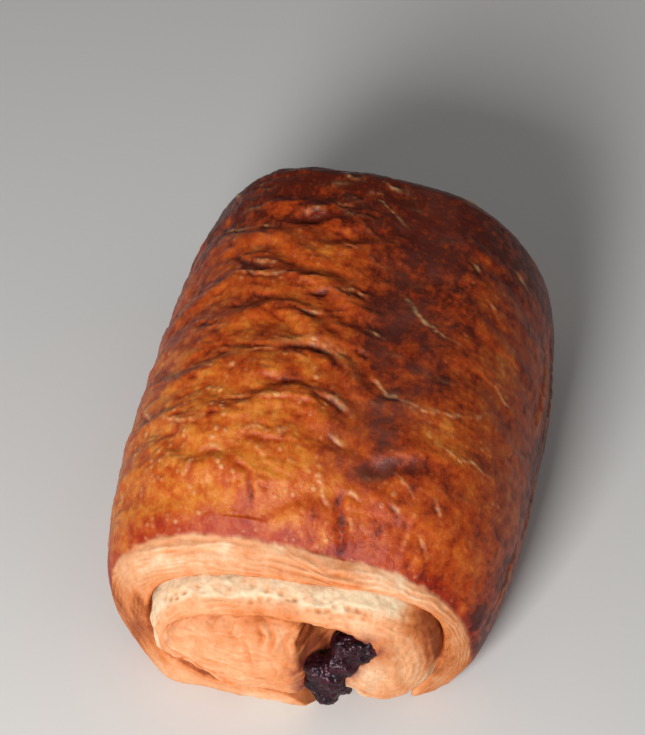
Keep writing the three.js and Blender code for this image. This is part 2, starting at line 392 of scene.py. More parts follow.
@dataclass
class Turn:
    """One turn of dough between an outer and an inner line of the rim section."""

    form: RollForm
    outer: Array
    inner: Array
    out: Values
    round: Values
    steps: Steps
    region: Region = Region.DOUGH
    closed: Values = 0.0
    round_out: Values | None = None
    swell_start: Pair = (2.5, 0.1)
    swell_depth: Pair = (6.0, 2.6)
    swell_height: Pair = (1.5, 2.2)

    def across(self, n: Array) -> tuple[Array, Array]:
        """The section point at n, from -1 on the inner line to 1 on the outer one, as x and z."""
        point = blend(self.inner[:, None, :], self.outer[:, None, :], (n[..., None] + 1) / 2)
        return point[..., 0], point[..., 1]

    def face(self, n: Array, half: Array, end: End) -> Array:
        """How far out the rounded end face of this turn stands at n, as y."""
        outer_round = self.round if self.round_out is None else self.round_out
        rounding = np.minimum(np.where(n > 0, outer_round, self.round), half)
        edge = np.clip((np.abs(n) - 1) * half / rounding + 1, 0, 1)
        back = rounding * (1 - np.sqrt(1 - edge**2))
        return self.form.face(*self.across(n), end) + end.side * (self.out - back)

    def grid(self) -> Grid:
        """The turn as rings of points: outside, far face, inside and near face."""
        half = np.linalg.norm(self.outer - self.inner, axis=1)[:, None] / 2
        steps = self.steps
        columns = {
            Zone.OUTSIDE: np.ones(steps.outside),
            Zone.FAR_FACE: np.cos(np.pi * np.arange(steps.far + 1) / steps.far),
            Zone.INSIDE: -np.ones(steps.inside),
            Zone.NEAR_FACE: -np.cos(np.pi * np.arange(steps.near + 1) / steps.near),
        }
        n_parts, y_parts, zone_parts = [], [], []
        for zone, n in columns.items():
            share = (np.arange(len(n)) + 0.5) / len(n)
            n = np.broadcast_to(n, (len(half), len(n)))
            near, far = self.face(n, half, self.form.near), self.face(n, half, self.form.far)
            if zone is Zone.FAR_FACE:
                y = far
            elif zone is Zone.NEAR_FACE:
                y = near
            else:
                y = blend(near, far, share if zone is Zone.OUTSIDE else 1 - share)
                if zone is Zone.INSIDE or self.region is Region.DOUGH:
                    start = blend(*self.swell_start, self.closed)
                    depth = blend(*self.swell_depth, self.closed)
                    swollen = ramp(np.minimum(y - near, far - y), start, depth)
                    n = n + np.sign(n) * blend(*self.swell_height, self.closed) / half * swollen
            n_parts.append(n)
            y_parts.append(y)
            zone_parts.append(np.full(n.shape[1], zone.value))
        n, y = np.concatenate(n_parts, axis=1), np.concatenate(y_parts, axis=1)
        points = self.form.place(*self.across(n), y)
        along = walk((self.outer + self.inner) / 2)[:, None]
        return Grid(points, along, (1 - n) * half, self.past_rims(points), np.concatenate(zone_parts), half)

    def past_rims(self, points: Array) -> Array:
        """How far each point lies past the crust's edge, in front of the near rim or round the far one."""
        shape, steps = points.shape[:2], self.steps
        if self.region is Region.DOUGH:
            return np.full(shape, PAST_ALL)
        walked = np.linalg.norm(np.diff(points, axis=1), axis=2)
        total = np.concatenate((np.zeros((len(points), 1)), np.cumsum(walked, axis=1)), axis=1)
        past_far = total - total[:, steps.outside - 1 : steps.outside] - FAR_WRAP
        past_near = self.form.near.rim - points[..., 1]
        column = np.arange(shape[1])
        past = np.where(column < steps.outside, np.maximum(past_near, past_far), past_far)
        past = np.where(column >= steps.outside + steps.far + 1, PAST_ALL, past)
        return np.where(column >= shape[1] - steps.near - 1, past_near, past)


class Shape:
    """Turns arrays of points into Blender objects."""

    @staticmethod
    def rings(name: str, points: Array, marks: dict[str, Array]) -> Object:
        """Makes a closed object from rings of points, with a fan over each end.

        Args:
            name: The piece's name.
            points: Rings of points in millimetres.
            marks: Values for the finish, one for each point.

        Returns:
            The new object.
        """
        count, size = points.shape[:2]
        flat = points.reshape(-1, 3)
        ends = np.stack((points[0].mean(axis=0), points[-1].mean(axis=0)))
        corner = (np.arange(count - 1)[:, None] * size + np.arange(size)).reshape(-1)
        beside = (np.arange(count - 1)[:, None] * size + (np.arange(size) + 1) % size).reshape(-1)
        quads = np.stack((corner, beside, beside + size, corner + size), axis=1)
        here, there = np.arange(size), (np.arange(size) + 1) % size
        last = (count - 1) * size
        first_fan = np.stack((there, here, np.full(size, len(flat))), axis=1)
        last_fan = np.stack((here + last, there + last, np.full(size, len(flat) + 1)), axis=1)
        extended = {
            key: np.concatenate((value.reshape(-1), (value[0].mean(), value[-1].mean())))
            for key, value in marks.items()
        }
        faces = [quads, np.concatenate((first_fan, last_fan))]
        return Shape.mesh(name, np.concatenate((flat, ends)), faces, extended)

    @staticmethod
    def mesh(name: str, points: Array, faces: list[Array], marks: dict[str, Array]) -> Object:
        """Makes an object from points and faces.

        Args:
            name: The piece's name.
            points: Points in millimetres.
            faces: Arrays of faces, each with one number of corners.
            marks: Values for the finish, one for each point.

        Returns:
            The new object.
        """
        mesh = bpy.data.meshes.new(name)
        sizes = np.concatenate([np.full(len(part), part.shape[1]) for part in faces])
        corners = np.concatenate([part.reshape(-1) for part in faces])
        mesh.vertices.add(len(points))
        mesh.vertices.foreach_set("co", (points * MILLIMETRE).astype(np.float32).reshape(-1))
        mesh.loops.add(len(corners))
        mesh.loops.foreach_set("vertex_index", corners.astype(np.int32))
        mesh.polygons.add(len(sizes))
        starts = np.concatenate(([0], np.cumsum(sizes)[:-1]))
        mesh.polygons.foreach_set("loop_start", starts.astype(np.int32))
        mesh.update(calc_edges=True)
        mesh.validate()
        mesh.polygons.foreach_set("use_smooth", np.ones(len(mesh.polygons), dtype=bool))
        for key, values in marks.items():
            layer = mesh.attributes.new(key, "FLOAT", "POINT")
            layer.data.foreach_set("value", values.astype(np.float32))
        return add_object(name, mesh)


class Nodes:
    """A material's node tree, built a node at a time."""

    def __init__(self, name: str) -> None:
        """Starts an empty material with its output.

        Args:
            name: The material's name.
        """
        self.material = bpy.data.materials.new(name)
        self.material.use_nodes = True
        self.tree = self.material.node_tree
        self.tree.nodes.clear()
        self.shader = self.new("ShaderNodeBsdfPrincipled")
        self.new("ShaderNodeOutputMaterial", {"Surface": self.shader.outputs[0]})
        self.place = self.new("ShaderNodeTexCoord").outputs["Object"]

    def new(self, kind: str, inputs: dict | None = None, **settings: str) -> bpy.types.Node:
        """Adds a node.

        Args:
            kind: Its type.
            inputs: Sockets or plain values, by the name or the number of the input that they go to.
            settings: The node's own settings.

        Returns:
            The new node.
        """
        node = self.tree.nodes.new(kind)
        for name, value in settings.items():
            setattr(node, name, value)
        for key, value in (inputs or {}).items():
            self.feed(node.inputs[key], value)
        return node

    def feed(self, socket: Socket, value: Socket | tuple[float, ...] | float) -> None:
        """Links a socket to another, or sets it to a plain value."""
        if isinstance(value, Socket):
            self.tree.links.new(value, socket)
        elif isinstance(value, tuple):
            socket.default_value = (*value, 1.0)[: len(socket.default_value)]
        else:
            socket.default_value = value

    def mark(self, name: str) -> Socket:
        """The value that the mesh carries under a name."""
        return self.new("ShaderNodeAttribute", attribute_name=name).outputs["Fac"]

    def laid(self, kind: str, size: float, stretch: Colour = (1, 1, 1), **inputs: float) -> bpy.types.Node:
        """A texture laid over the roll at a size in millimetres, and stretched along X, Y and Z."""
        scale = tuple(1 / (size * MILLIMETRE * s) for s in stretch)
        mapping = self.new("ShaderNodeMapping", {"Vector": self.place, "Scale": scale})
        return self.new(kind, {"Vector": mapping.outputs[0], "Scale": 1.0, **inputs})

    def noise(
        self, size: float, detail: float = 4.0, stretch: Colour = (1, 1, 1), rough: float = 0.55
    ) -> Socket:
        """Random blotches.

        Args:
            size: The width of a blotch in millimetres.
            detail: How many finer layers there are.
            stretch: How much longer the blotches are along X, Y and Z.
            rough: How strong the finer layers are.

        Returns:
            The socket with values of about 0.2 to 0.8.
        """
        return self.laid("ShaderNodeTexNoise", size, stretch, Detail=detail, Roughness=rough).outputs["Fac"]

    def cells(self, size: float) -> Socket:
        """The distance to the nearest of scattered points, in parts of their spacing in millimetres."""
        return self.laid("ShaderNodeTexVoronoi", size).outputs["Distance"]

    def join(self, kind: str, *values: Socket | float) -> Socket:
        """Joins values by one kind of calculation, from the first one on."""
        total = values[0]
        for value in values[1:]:
            total = self.new("ShaderNodeMath", {0: total, 1: value}, operation=kind).outputs[0]
        return total

    def ranged(self, value: Socket, low: float, high: float, *reached: float) -> Socket:
        """Carries a value from one range to another, 0 to 1 if none is given, clamped at both ends."""
        inputs = dict(enumerate((value, low, high, *(reached or (0.0, 1.0)))))
        return self.new("ShaderNodeMapRange", inputs).outputs[0]

    def gradient(self, value: Socket, stops: tuple[tuple[float, Colour], ...]) -> Socket:
        """A colour that goes through stops as a value rises."""
        node = self.new("ShaderNodeValToRGB", {0: value})
        elements = node.color_ramp.elements
        while len(elements) < len(stops):
            elements.new(0.5)
        for element, (place, colour) in zip(elements, stops):
            element.position = place
            element.color = (*colour, 1.0)
        return node.outputs[0]

    def mix(self, share: Socket | float, a: Tint, b: Tint, kind: str = "MIX") -> Socket:
        """Mixes two colours by a share."""
        inputs = {"Factor": share, 6: a, 7: b}
        return self.new("ShaderNodeMix", inputs, data_type="RGBA", blend_type=kind).outputs[2]

    def bump(self, height: Socket, distance: float, below: Socket | None = None) -> Socket:
        """Fine relief that is too small for the mesh.

        Args:
            height: The relief, from 0 to 1.
            distance: Its height in millimetres.
            below: Relief that it lies on.

        Returns:
            The socket with the changed normal.
        """
        inputs = {"Distance": distance * MILLIMETRE, "Height": height}
        if below is not None:
            inputs["Normal"] = below
        return self.new("ShaderNodeBump", inputs).outputs[0]


TINTS = ((0.0, (0.94, 0.70, 0.50)), (0.6, (1.00, 1.06, 1.10)), (1.0, (1.08, 1.24, 2.10)))
SHADES = ((0.0, (0.95, 0.88, 0.84)), (1.0, (1.05, 1.10, 1.12)))


@dataclass(frozen=True)
class PastryFinish:
    """Egg-washed crust that runs from gold to dark brown, and pale layered dough where the roll is cut, with
    painted shade and painted highlights carried by the marks.
    """

    gold: Colour = (0.60, 0.184, 0.023)
    amber: Colour = (0.49, 0.088, 0.009)
    brown: Colour = (0.360, 0.044, 0.0045)
    dark: Colour = (0.104, 0.010, 0.002)
    # Dark violet brown laid as painted shade in the top valley and down the right side.
    violet: Colour = (0.130, 0.034, 0.022)
    red: Colour = (0.68, 0.30, 0.38)
    # Pale colour of flakes and cracks, also laid on raised lips and blister tops as a painted highlight.
    flake: Colour = (0.72, 0.45, 0.20)
    cream: Colour = (0.78, 0.58, 0.375)
    dough: Colour = (0.71, 0.345, 0.170)
    toasted: Colour = (0.60, 0.185, 0.052)
    scorched: Colour = (0.27, 0.055, 0.012)
    stain: Colour = (0.19, 0.034, 0.026)

    def crust(self, nodes: Nodes, bake: Socket, mottle: Socket, blisters: Socket) -> Socket:
        """The colour of the browned crust.

        Args:
            nodes: The material's nodes.
            bake: How far each place has browned.
            mottle: Blotches of middle size.
            blisters: Where the skin has blistered, with tops that get a painted highlight.

        Returns:
            The socket with the colour.
        """
        browning_and_shade = zip((0.0, 0.34, 0.66, 1.0), (self.gold, self.amber, self.brown, self.dark))
        # The browning ramp also carries painted shade: darker towards the far end, down the right side, in
        # the valley, in the furrows and in the hollows.
        colour = nodes.gradient(bake, tuple(browning_and_shade))
        grain = nodes.ranged(nodes.noise(1.5, 6.0, (0.95, 1.3, 1.0), 0.7), 0.33, 0.67)
        colour = nodes.mix(1.0, colour, nodes.gradient(grain, TINTS), "MULTIPLY")
        colour = nodes.mix(nodes.mark("red"), colour, self.red, "MULTIPLY")
        # Painted shade: dark violet brown in the valley and down the right side.
        violet = nodes.join("MULTIPLY", nodes.mark("violet"), nodes.ranged(mottle, 0.35, 0.6, 0.45, 1.0))
        colour = nodes.mix(violet, colour, self.violet)
        # Pale flakes and cracks, and painted highlights on the raised lips.
        colour = nodes.mix(nodes.mark("flake"), colour, self.flake)
        # Painted highlight: the pale colour on the blister tops.
        return nodes.mix(nodes.join("MULTIPLY", blisters, 0.45), colour, self.flake)

    def cut_dough(self, nodes: Nodes, mottle: Socket, blotch: Socket) -> Socket:
        """The colour of the cut dough, toasted, stained by the chocolate, and with painted shade and light
        from its marks.

        Args:
            nodes: The material's nodes.
            mottle: Blotches of middle size.
            blotch: Wide blotches.

        Returns:
            The socket with the colour.
        """
        toast = nodes.join(
            "ADD",
            nodes.mark("toast"),
            nodes.ranged(mottle, 0.3, 0.7, -0.13, 0.13),
            nodes.ranged(blotch, 0.3, 0.7, -0.10, 0.10),
        )
        toasting = zip((0.0, 0.34, 0.72, 1.0), (self.cream, self.dough, self.toasted, self.scorched))
        return nodes.mix(nodes.mark("stain"), nodes.gradient(toast, tuple(toasting)), self.stain)

    def material(self) -> Material:
        """The finish as a material that reads the marks on the mesh."""
        nodes = Nodes("pastry_finish")
        cut = nodes.mark("cut")
        blotch = nodes.noise(6.0, 5.0, (1.0, 1.3, 1.0))
        mottle = nodes.noise(2.1, 6.0, (0.95, 1.3, 1.0), 0.7)
        speck = nodes.noise(0.8, 5.0, (0.95, 1.25, 1.0), 0.65)
        bake = nodes.join(
            "ADD",
            nodes.mark("bake"),
            nodes.ranged(blotch, 0.3, 0.7, -0.14, 0.14),
            nodes.ranged(mottle, 0.33, 0.68, -0.26, 0.26),
            nodes.ranged(speck, 0.33, 0.68, -0.10, 0.10),
        )
        # Blisters: a bump, and tops that get the pale colour as a painted highlight.
        blisters = nodes.join(
            "MULTIPLY",
            nodes.ranged(nodes.cells(1.9), 0.36, 0.12),
            nodes.ranged(blotch, 0.46, 0.60),
            nodes.ranged(bake, 0.75, 0.30),
            nodes.ranged(cut, 0.3, 0.0),
        )
        crust = self.crust(nodes, bake, mottle, blisters)
        colour = nodes.mix(cut, crust, self.cut_dough(nodes, mottle, blotch))
        shade = nodes.gradient(nodes.ranged(speck, 0.3, 0.7), SHADES)
        gloss = nodes.ranged(mottle, 0.3, 0.7, 0.26, 0.44)
        dull = nodes.ranged(cut, 0.0, 1.0, 0.0, 0.24)
        relief = nodes.bump(blisters, 0.16, nodes.bump(mottle, 0.26, nodes.bump(speck, 0.10)))
        nodes.feed(nodes.shader.inputs["Base Color"], nodes.mix(0.8, colour, shade, "MULTIPLY"))
        nodes.feed(nodes.shader.inputs["Roughness"], nodes.join("ADD", gloss, dull))
        nodes.feed(nodes.shader.inputs["Normal"], relief)
        nodes.shader.inputs["Specular IOR Level"].default_value = 0.22
        nodes.shader.inputs["Subsurface Weight"].default_value = 0.10
        nodes.shader.inputs["Subsurface Radius"].default_value = (1.0, 0.45, 0.2)
        nodes.shader.inputs["Subsurface Scale"].default_value = 1.6 * MILLIMETRE
        return nodes.material


@dataclass(frozen=True)
class ChocolateFinish:
    """Dark chocolate that boiled and set, wet-looking and nearly black with a violet tint."""

    deep: Colour = (0.003, 0.001, 0.0015)
    sheen: Colour = (0.040, 0.004, 0.009)

    def material(self) -> Material:
        """The finish as a material."""
        nodes = Nodes("chocolate_finish")
        blotch = nodes.noise(1.6, 5.0)
        speck = nodes.noise(0.35, 4.0)
        crumple = nodes.join("ABSOLUTE", nodes.join("SUBTRACT", nodes.noise(0.85, 4.0), 0.5), 0.0)
        colour = nodes.mix(nodes.ranged(blotch, 0.38, 0.68), self.deep, self.sheen)
        nodes.feed(nodes.shader.inputs["Base Color"], colour)
        nodes.feed(nodes.shader.inputs["Roughness"], nodes.ranged(speck, 0.3, 0.7, 0.16, 0.32))
        nodes.shader.inputs["Coat Weight"].default_value = 0.05
        nodes.shader.inputs["Coat Roughness"].default_value = 0.12
        nodes.shader.inputs["Specular IOR Level"].default_value = 0.32
        nodes.shader.inputs["Specular Tint"].default_value = (1.0, 0.78, 0.92, 1.0)
        nodes.feed(nodes.shader.inputs["Normal"], nodes.bump(crumple, 0.22, nodes.bump(speck, 0.05)))
        return nodes.material


@dataclass(frozen=True)
class FloorFinish:
    """A plain pale floor."""

    colour: Colour = (0.72, 0.71, 0.69)

    def material(self) -> Material:
        """The finish as a material."""
        nodes = Nodes("floor_finish")
        nodes.feed(nodes.shader.inputs["Base Color"], self.colour)
        nodes.shader.inputs["Roughness"].default_value = 0.7
        return nodes.material


@dataclass(frozen=True)
class Stroke:
    """A line on the surface: a furrow with a lip on its left as it is walked. Its dark is painted shade in
    the furrow, and its pale lip is partly a painted highlight.
    """

    points: Line
    sink: float
    rise: float
    width: float
    pale: float = 0.0
    dark: float = 0.0

    def measure(self, u: Array, v: Array) -> tuple[Array, Array, Array]:
        """Measures points from the line.

        Args:
            u: First coordinates of the points.
            v: Second coordinates of the points.

        Returns:
            Which points are near the line, their distances from it, positive on its left, and how far along
            the line they lie, from 0 to 1.
        """
        corners = np.array(self.points)
        low, high = corners.min(axis=0) - 5 * self.width, corners.max(axis=0) + 5 * self.width
        near = (u > low[0]) & (u < high[0]) & (v > low[1]) & (v < high[1])
        u, v = u[near], v[near]
        best, signed, share = np.full(u.shape, 1e9), np.zeros(u.shape), np.zeros(u.shape)
        spans = len(corners) - 1
        for number in range(spans):
            (du, dv), (from_u, from_v) = corners[number + 1] - corners[number], corners[number]
            t = np.clip(((u - from_u) * du + (v - from_v) * dv) / (du**2 + dv**2), 0, 1)
            away = np.hypot(u - from_u - t * du, v - from_v - t * dv)
            side = np.where(du * (v - from_v) - dv * (u - from_u) >= 0, 1.0, -1.0)
            closer = away < best
            best = np.where(closer, away, best)
            signed = np.where(closer, away * side, signed)
            share = np.where(closer, (number + t) / spans, share)
        return near, signed, share

    @staticmethod
    def group(lines: tuple[Line, ...], **pen: float) -> tuple["Stroke", ...]:
        """Strokes along several lines, all with the same furrow and lip."""
        return tuple(Stroke(line, **pen) for line in lines)

    @staticmethod
    def draw(strokes: tuple["Stroke", ...], u: Array, v: Array) -> tuple[Array, Array, Array]:
        """Draws strokes over points.

        Args:
            strokes: The strokes.
            u: First coordinates of the points.
            v: Second coordinates of the points.

        Returns:
            The relief, how pale the strokes leave each point, partly as a painted highlight, and how dark, as
            painted shade.
        """
        relief, pale, dark = (np.zeros(u.shape) for _ in range(3))
        for stroke in strokes:
            near, away, share = stroke.measure(u, v)
            fade = np.sin(np.pi * np.clip(share, 0.03, 0.97)) ** END_FADE
            furrow = fade * bell(away, 0, stroke.width)
            lip = fade * bell(away / stroke.width, LIP_PLACE, LIP_WIDTH)
            relief[near] += stroke.rise * lip - stroke.sink * furrow
            pale[near] = np.maximum(pale[near], stroke.pale * lip)
            dark[near] = np.maximum(dark[near], stroke.dark * furrow)
        return relief, pale, dark


# Painted highlights: pale lips that stand for glints on raised edges of the crust, with painted shade in
# their furrows.
BRIGHT_LIPS = Stroke.group(sink=0.30, rise=0.22, width=0.36, pale=0.44, dark=0.45, lines=(
    ((-28.3, 29.4), (-25.3, 28.0), (-22.7, 27.1)), ((-20.5, 26.8), (-19.1, 26.9), (-17.4, 26.6)),
    ((-19.2, 17.0), (-15.7, 16.3), (-12.5, 16.3)), ((-22.6, 15.3), (-16.5, 13.3), (-10.6, 13.1)),
    ((-6.0, 4.4), (-1.9, 4.8)), ((-14.0, -5.7), (-8.9, -5.3)), ((-21.9, -8.9), (-19.6, -8.9)),
    ((-16.4, -9.7), (-15.2, -9.7)), ((-8.8, -16.1), (-3.9, -15.7)), ((-15.1, -16.0), (-11.5, -16.2)),
    ((-11.1, 29.6), (-7.9, 30.2)), ((-10.4, -22.7), (-8.6, -21.9), (-6.5, -22.0)),
    ((-3.8, -22.7), (-2.2, -21.5)), ((-16.9, -25.9), (-15.4, -25.6), (-13.4, -26.2)),
    ((-19.4, -30.2), (-18.5, -27.3)), ((-7.8, -25.5), (-6.2, -26.7)),
    ((4.6, -28.1), (5.4, -30.3), (7.1, -31.9)), ((4.7, -20.2), (6.5, -21.1), (8.3, -21.9)),
    ((-29.9, -20.9), (-27.8, -21.5)), ((-22.3, -23.1), (-20.9, -23.8)), ((9.8, -6.7), (11.6, -8.3)),
    ((9.5, -29.2), (12.5, -29.9)), ((17.7, -29.0), (18.7, -30.0), (19.9, -31.0)),
    ((25.5, -26.8), (26.5, -28.4)), ((10.6, -32.6), (11.4, -33.7)), ((23.7, -32.7), (25.0, -34.1)),
    ((-34.4, -11.4), (-30.2, -17.7)), ((-28.0, -18.0), (-23.2, -20.4), (-19.1, -20.5)),
    ((-5.7, 32.3), (-2.5, 32.3)), ((0.4, 36.4), (1.8, 37.3)), ((21.5, 27.0), (23.8, 25.0)),
    ((26.4, 19.6), (27.9, 17.8)), ((-1.5, 22.4), (0.7, 21.6)), ((0.4, 11.0), (2.7, 11.8), (4.5, 11.0)),
    ((7.3, 3.5), (9.5, 3.2)),
))
# Painted shade: furrows darkened where shade falls in the creases.
DARK_FURROWS = Stroke.group(sink=0.42, rise=0.12, width=0.62, pale=0.04, dark=0.7, lines=(
    ((-21.2, 18.0), (-16.7, 15.4), (-12.5, 15.2)), ((-17.4, 9.7), (-14.5, 8.5), (-11.7, 8.1)),
    ((-14.8, 4.8), (-7.8, 5.2), (-3.2, 4.3), (0.1, 4.1)), ((-23.7, 1.0), (-20.8, 0.3)),
    ((-17.2, -3.4), (-13.5, -4.3), (-8.9, -4.2)), ((-10.3, -11.5), (-6.0, -11.4), (-1.5, -10.4)),
    ((-11.0, -23.3), (-7.9, -23.5), (-5.8, -23.5), (-1.8, -23.3)),
    ((-12.0, -27.2), (-7.7, -29.7), (-6.8, -32.8), (-6.1, -34.5)),
    ((-5.9, -31.6), (-4.3, -31.5), (-2.8, -30.9)), ((-26.0, -17.9), (-22.8, -17.6)),
    ((-24.6, -9.7), (-22.4, -10.5)), ((13.2, -9.3), (16.3, -9.9)), ((-23.8, 21.0), (-20.3, 17.3)),
    ((-21.1, 7.4), (-18.3, 6.1)), ((-20.3, -4.7), (-17.9, -5.4)), ((-1.3, -15.7), (1.0, -15.9)),
    ((-25.9, -13.4), (-23.0, -13.7)), ((-18.5, -19.0), (-15.2, -18.9)), ((-26.7, 3.7), (-24.4, 3.4)),
    ((-8.6, 14.9), (-5.0, 14.3)), ((-5.5, 9.9), (-1.7, 10.3)), ((-0.8, 2.2), (3.0, 1.8)),
    ((5.4, -1.3), (8.4, -1.5)),
))
PALE_CRACKS = Stroke.group(sink=0.10, rise=0.16, width=0.26, pale=0.46, dark=0.3, lines=(
    ((10.8, 14.4), (13.5, 11.8), (16.6, 8.6), (20.4, 6.5), (24.1, 6.1)),
    ((10.0, -6.7), (13.0, -9.5), (15.8, -9.8)),
    ((15.0, -9.9), (20.7, -11.1), (25.9, -9.7), (29.7, -7.3), (31.6, -3.8)),
    ((24.0, -16.6), (28.4, -17.6), (30.9, -16.4), (33.6, -16.1)), ((2.0, 35.6), (3.3, 34.8), (7.9, 31.7)),
    ((28.8, 32.4), (29.5, 31.6), (32.6, 29.8)), ((18.0, -24.6), (20.4, -26.0), (21.6, -27.6)),
    ((31.0, 2.0), (33.0, 0.5), (34.5, 0.9)),
))
SIDE_FLAKES = Stroke.group(sink=0.15, rise=0.50, width=0.50, pale=0.30, dark=0.3, lines=(
    ((31.0, 22.0), (24.0, 19.0), (14.0, 17.6), (4.0, 16.6)), ((2.0, 15.6), (-8.0, 15.0), (-16.0, 14.6)),
    ((-18.0, 17.0), (-24.0, 16.0), (-31.0, 14.0)), ((22.0, 25.0), (12.0, 24.0), (3.0, 23.6)),
))
EDGE_FLAKES = Stroke.group(sink=0.05, rise=0.40, width=0.36, pale=0.45, dark=0.2, lines=(
    ((-28.8, 40.0), (-27.2, 38.0)), ((-6.2, 40.6), (-4.6, 39.6), (-2.2, 40.0)),
    ((2.0, 40.3), (4.0, 39.8), (5.8, 39.7)),
))


@dataclass(frozen=True)
class Patch:
    """A rounded patch of the crust that has browned more or less than the crust round it."""

    x: float
    y: float
    reach_x: float
    reach_y: float
    bake: float


BAKE_PATCHES = (
    Patch(-5, 20, 9, 8, -0.15),
    Patch(-1, -17, 8, 8, 0.07),
    Patch(15, 0, 5, 7, 0.08),
    Patch(1, -36, 10, 4, 0.08),
    Patch(12, 8, 6, 9, 0.12),
    Patch(31.3, 6, 2.4, 9, -0.30),
    Patch(23, -14, 4, 3, -0.20),
)


@dataclass
class Crust:
    """The baked skin: folds, furrows and lips, blisters, cracks and how far each place has browned, with
    painted shade in its furrows, hollows, far end and right side and painted highlights on its lips.
    """

    grain: Grain
    fold_rise: float = 0.65
    wrinkle: float = 0.25
    pebble: float = 0.13
    blister: float = 0.08
    dash_count: int = 300
    steps: tuple[Stroke, ...] = (
        Stroke(
            ((-8.5, -4.8), (-6.7, -4.0), (-2.5, -2.9), (2.0, -4.1), (6.0, -7.9)),
            0.70, 0.45, 1.0, 0.18, 0.6,
        ),
        Stroke(
            ((-19.5, 29.6), (-13.7, 27.9), (-9.5, 28.4), (-5.4, 29.8), (0.0, 29.0)),
            0.60, 0.15, 1.1, 0.0, 0.6,
        ),
        Stroke(((0.6, -13.2), (4.2, -13.8), (7.2, -15.4)), 0.50, 0.45, 0.60, 0.40, 0.5),
        Stroke(
            ((9.9, -25.3), (14.0, -24.2), (19.4, -22.5), (23.3, -21.1), (27.0, -20.0)),
            0.8, 0.2, 1.6, 0.0, 0.4,
        ),
        Stroke(((8.2, -28.0), (9.8, -33.1), (10.7, -38.5)), 0.5, 0.2, 1.0, 0.0, 0.30),
    )
    valley: Line = ((-26.0, 12.8), (-5.0, 14.8), (27.0, 13.7), (45.0, 9.0))

    def folds(self, x: Array, y: Array, z: Array) -> Array:
        """The wide shallow folds that run across the crust, as high as the solid's."""
        wander = 2.4 * np.sin(x / 6 + y / 11) + 1.3 * np.sin(x / 3.2 - y / 4.3 + 2.1)
        turn = 2 * np.pi * (y + wander)
        ripple = (np.sin(turn / 10.1) + 0.5 * np.sin(turn / 6.1 + x / 4.8 + 1.3)) / 1.5
        left = blend(1.0, 0.4, ramp(x, -2, 14))
        inside = 1 - ramp(np.abs(y), 30, 10)
        return self.fold_rise * ripple * ramp(z, 12, 14) * left * inside

    def dashes(self, length: float) -> tuple[Stroke, ...]:
        """Short random furrows, mostly across the roll.

        Args:
            length: How far round the outside goes.

        Returns:
            Strokes in coordinates round the outside and along the roll.
        """
        draw = np.random.default_rng(SEED + 5)
        strokes = []
        for _ in range(self.dash_count):
            s, y = draw.uniform(0, length), draw.uniform(-28, 41)
            half = draw.uniform(0.8, 2.8)
            slope = draw.normal(0, 0.35)
            bend = draw.normal(0, 0.3)
            points = ((s + half, y - half * slope), (s, y + bend), (s - half, y + half * slope))
            strength = draw.uniform(0.3, 1.0)
            width = draw.uniform(0.36, 0.62)
            # Each dash gets painted shade in its furrow and a pale lip that is partly a painted highlight.
            pale = 0.26 * draw.uniform(0, 1) ** 2
            strokes.append(Stroke(points, 0.26 * strength, 0.17 * strength, width, pale, 0.62 * strength))
        return tuple(strokes)

    def wrinkles(self, s: Array, x: Array, y: Array, z: Array) -> Array:
        """Crosswise wrinkles, pebbled blisters and streaks over the wide folds.

        Args:
            s: How far round the outside each point lies.
            x: Coordinates across the roll.
            y: Coordinates along the roll.
            z: Heights.

        Returns:
            Heights, with a mean of about 0.
        """
        warp = self.grain.at(s / 7, y / 6)
        drift = y + 1.8 * warp
        folds = np.abs(self.grain.at(s / 5.5, drift / 3.0)) - 0.25
        creases = np.abs(self.grain.at(s / 3.1 + 40, drift / 1.7 + 9)) - 0.25
        lumps = self.grain.layered(3, s / 3.4 + 70, drift / 2.9)
        left = blend(1.0, 0.36, ramp(x, 1, 10))
        near_rim = 1 - 0.75 * ramp(y, -29, -7)
        high = 0.3 + 0.7 * ramp(z, 8, 12)
        height = self.wrinkle * left * near_rim * high * (0.8 * folds + 0.7 * creases + 0.55 * lumps)
        streaks = self.grain.layered(2, s / 1.9 + 5, y / 9) * ramp(y, -18, -10) * ramp(x, 2, 8)
        height = height + 0.15 * streaks * high
        shift = 0.45 * self.grain.at(s / 2.2, y / 2.2)
        nearest, second = self.grain.cells(s / 2.3 + shift, y / 1.75 - shift)
        pebbles = ramp(second - nearest, 0, 0.55) - 0.6
        patchy = smooth(0.5 + 0.9 * self.grain.at(s / 9 + 3, y / 9))
        height = height + self.pebble * pebbles * patchy * blend(1.0, 0.45, ramp(x, -1, 12)) * near_rim
        return height + self.blister * self.grain.layered(3, s / 1.15 + 3, y / 0.95 + 8)

    def valley_cloud(self, x: Array, y: Array, z: Array, cloud: Array) -> Array:
        """How violet the crust is, in the valley along its top and at its right edge: painted shade, a dark
        violet brown in the trough and on the side away from the light.
        """
        away = np.abs(x - np.interp(y, *zip(*self.valley)))
        inside = ramp(y, -30, 6) * ramp(y, 46, -4)
        valley = bell(away, 0, 7) * smooth(0.60 + 0.6 * cloud) * inside
        side = 0.26 * ramp(x, 27, 8) * smooth(0.45 + 0.8 * cloud)
        return np.maximum(valley * ramp(z, 16, 10), side * ramp(z, 14, 6))

    @staticmethod
    def browning_and_shade(x: Array, y: Array, z: Array) -> Array:
        """How far the crust has browned at points, with painted shade towards the far end and the right, from
        0 for gold to 1 for dark, without its mottled browning and the painted shade of its furrows and
        hollows.

        Args:
            x: Coordinates across the roll.
            y: Coordinates along the roll.
            z: Heights.

        Returns:
            The browning, not yet held between 0 and 1.
        """
        right, low = ramp(x, 0, 8), ramp(z, 24, -7)
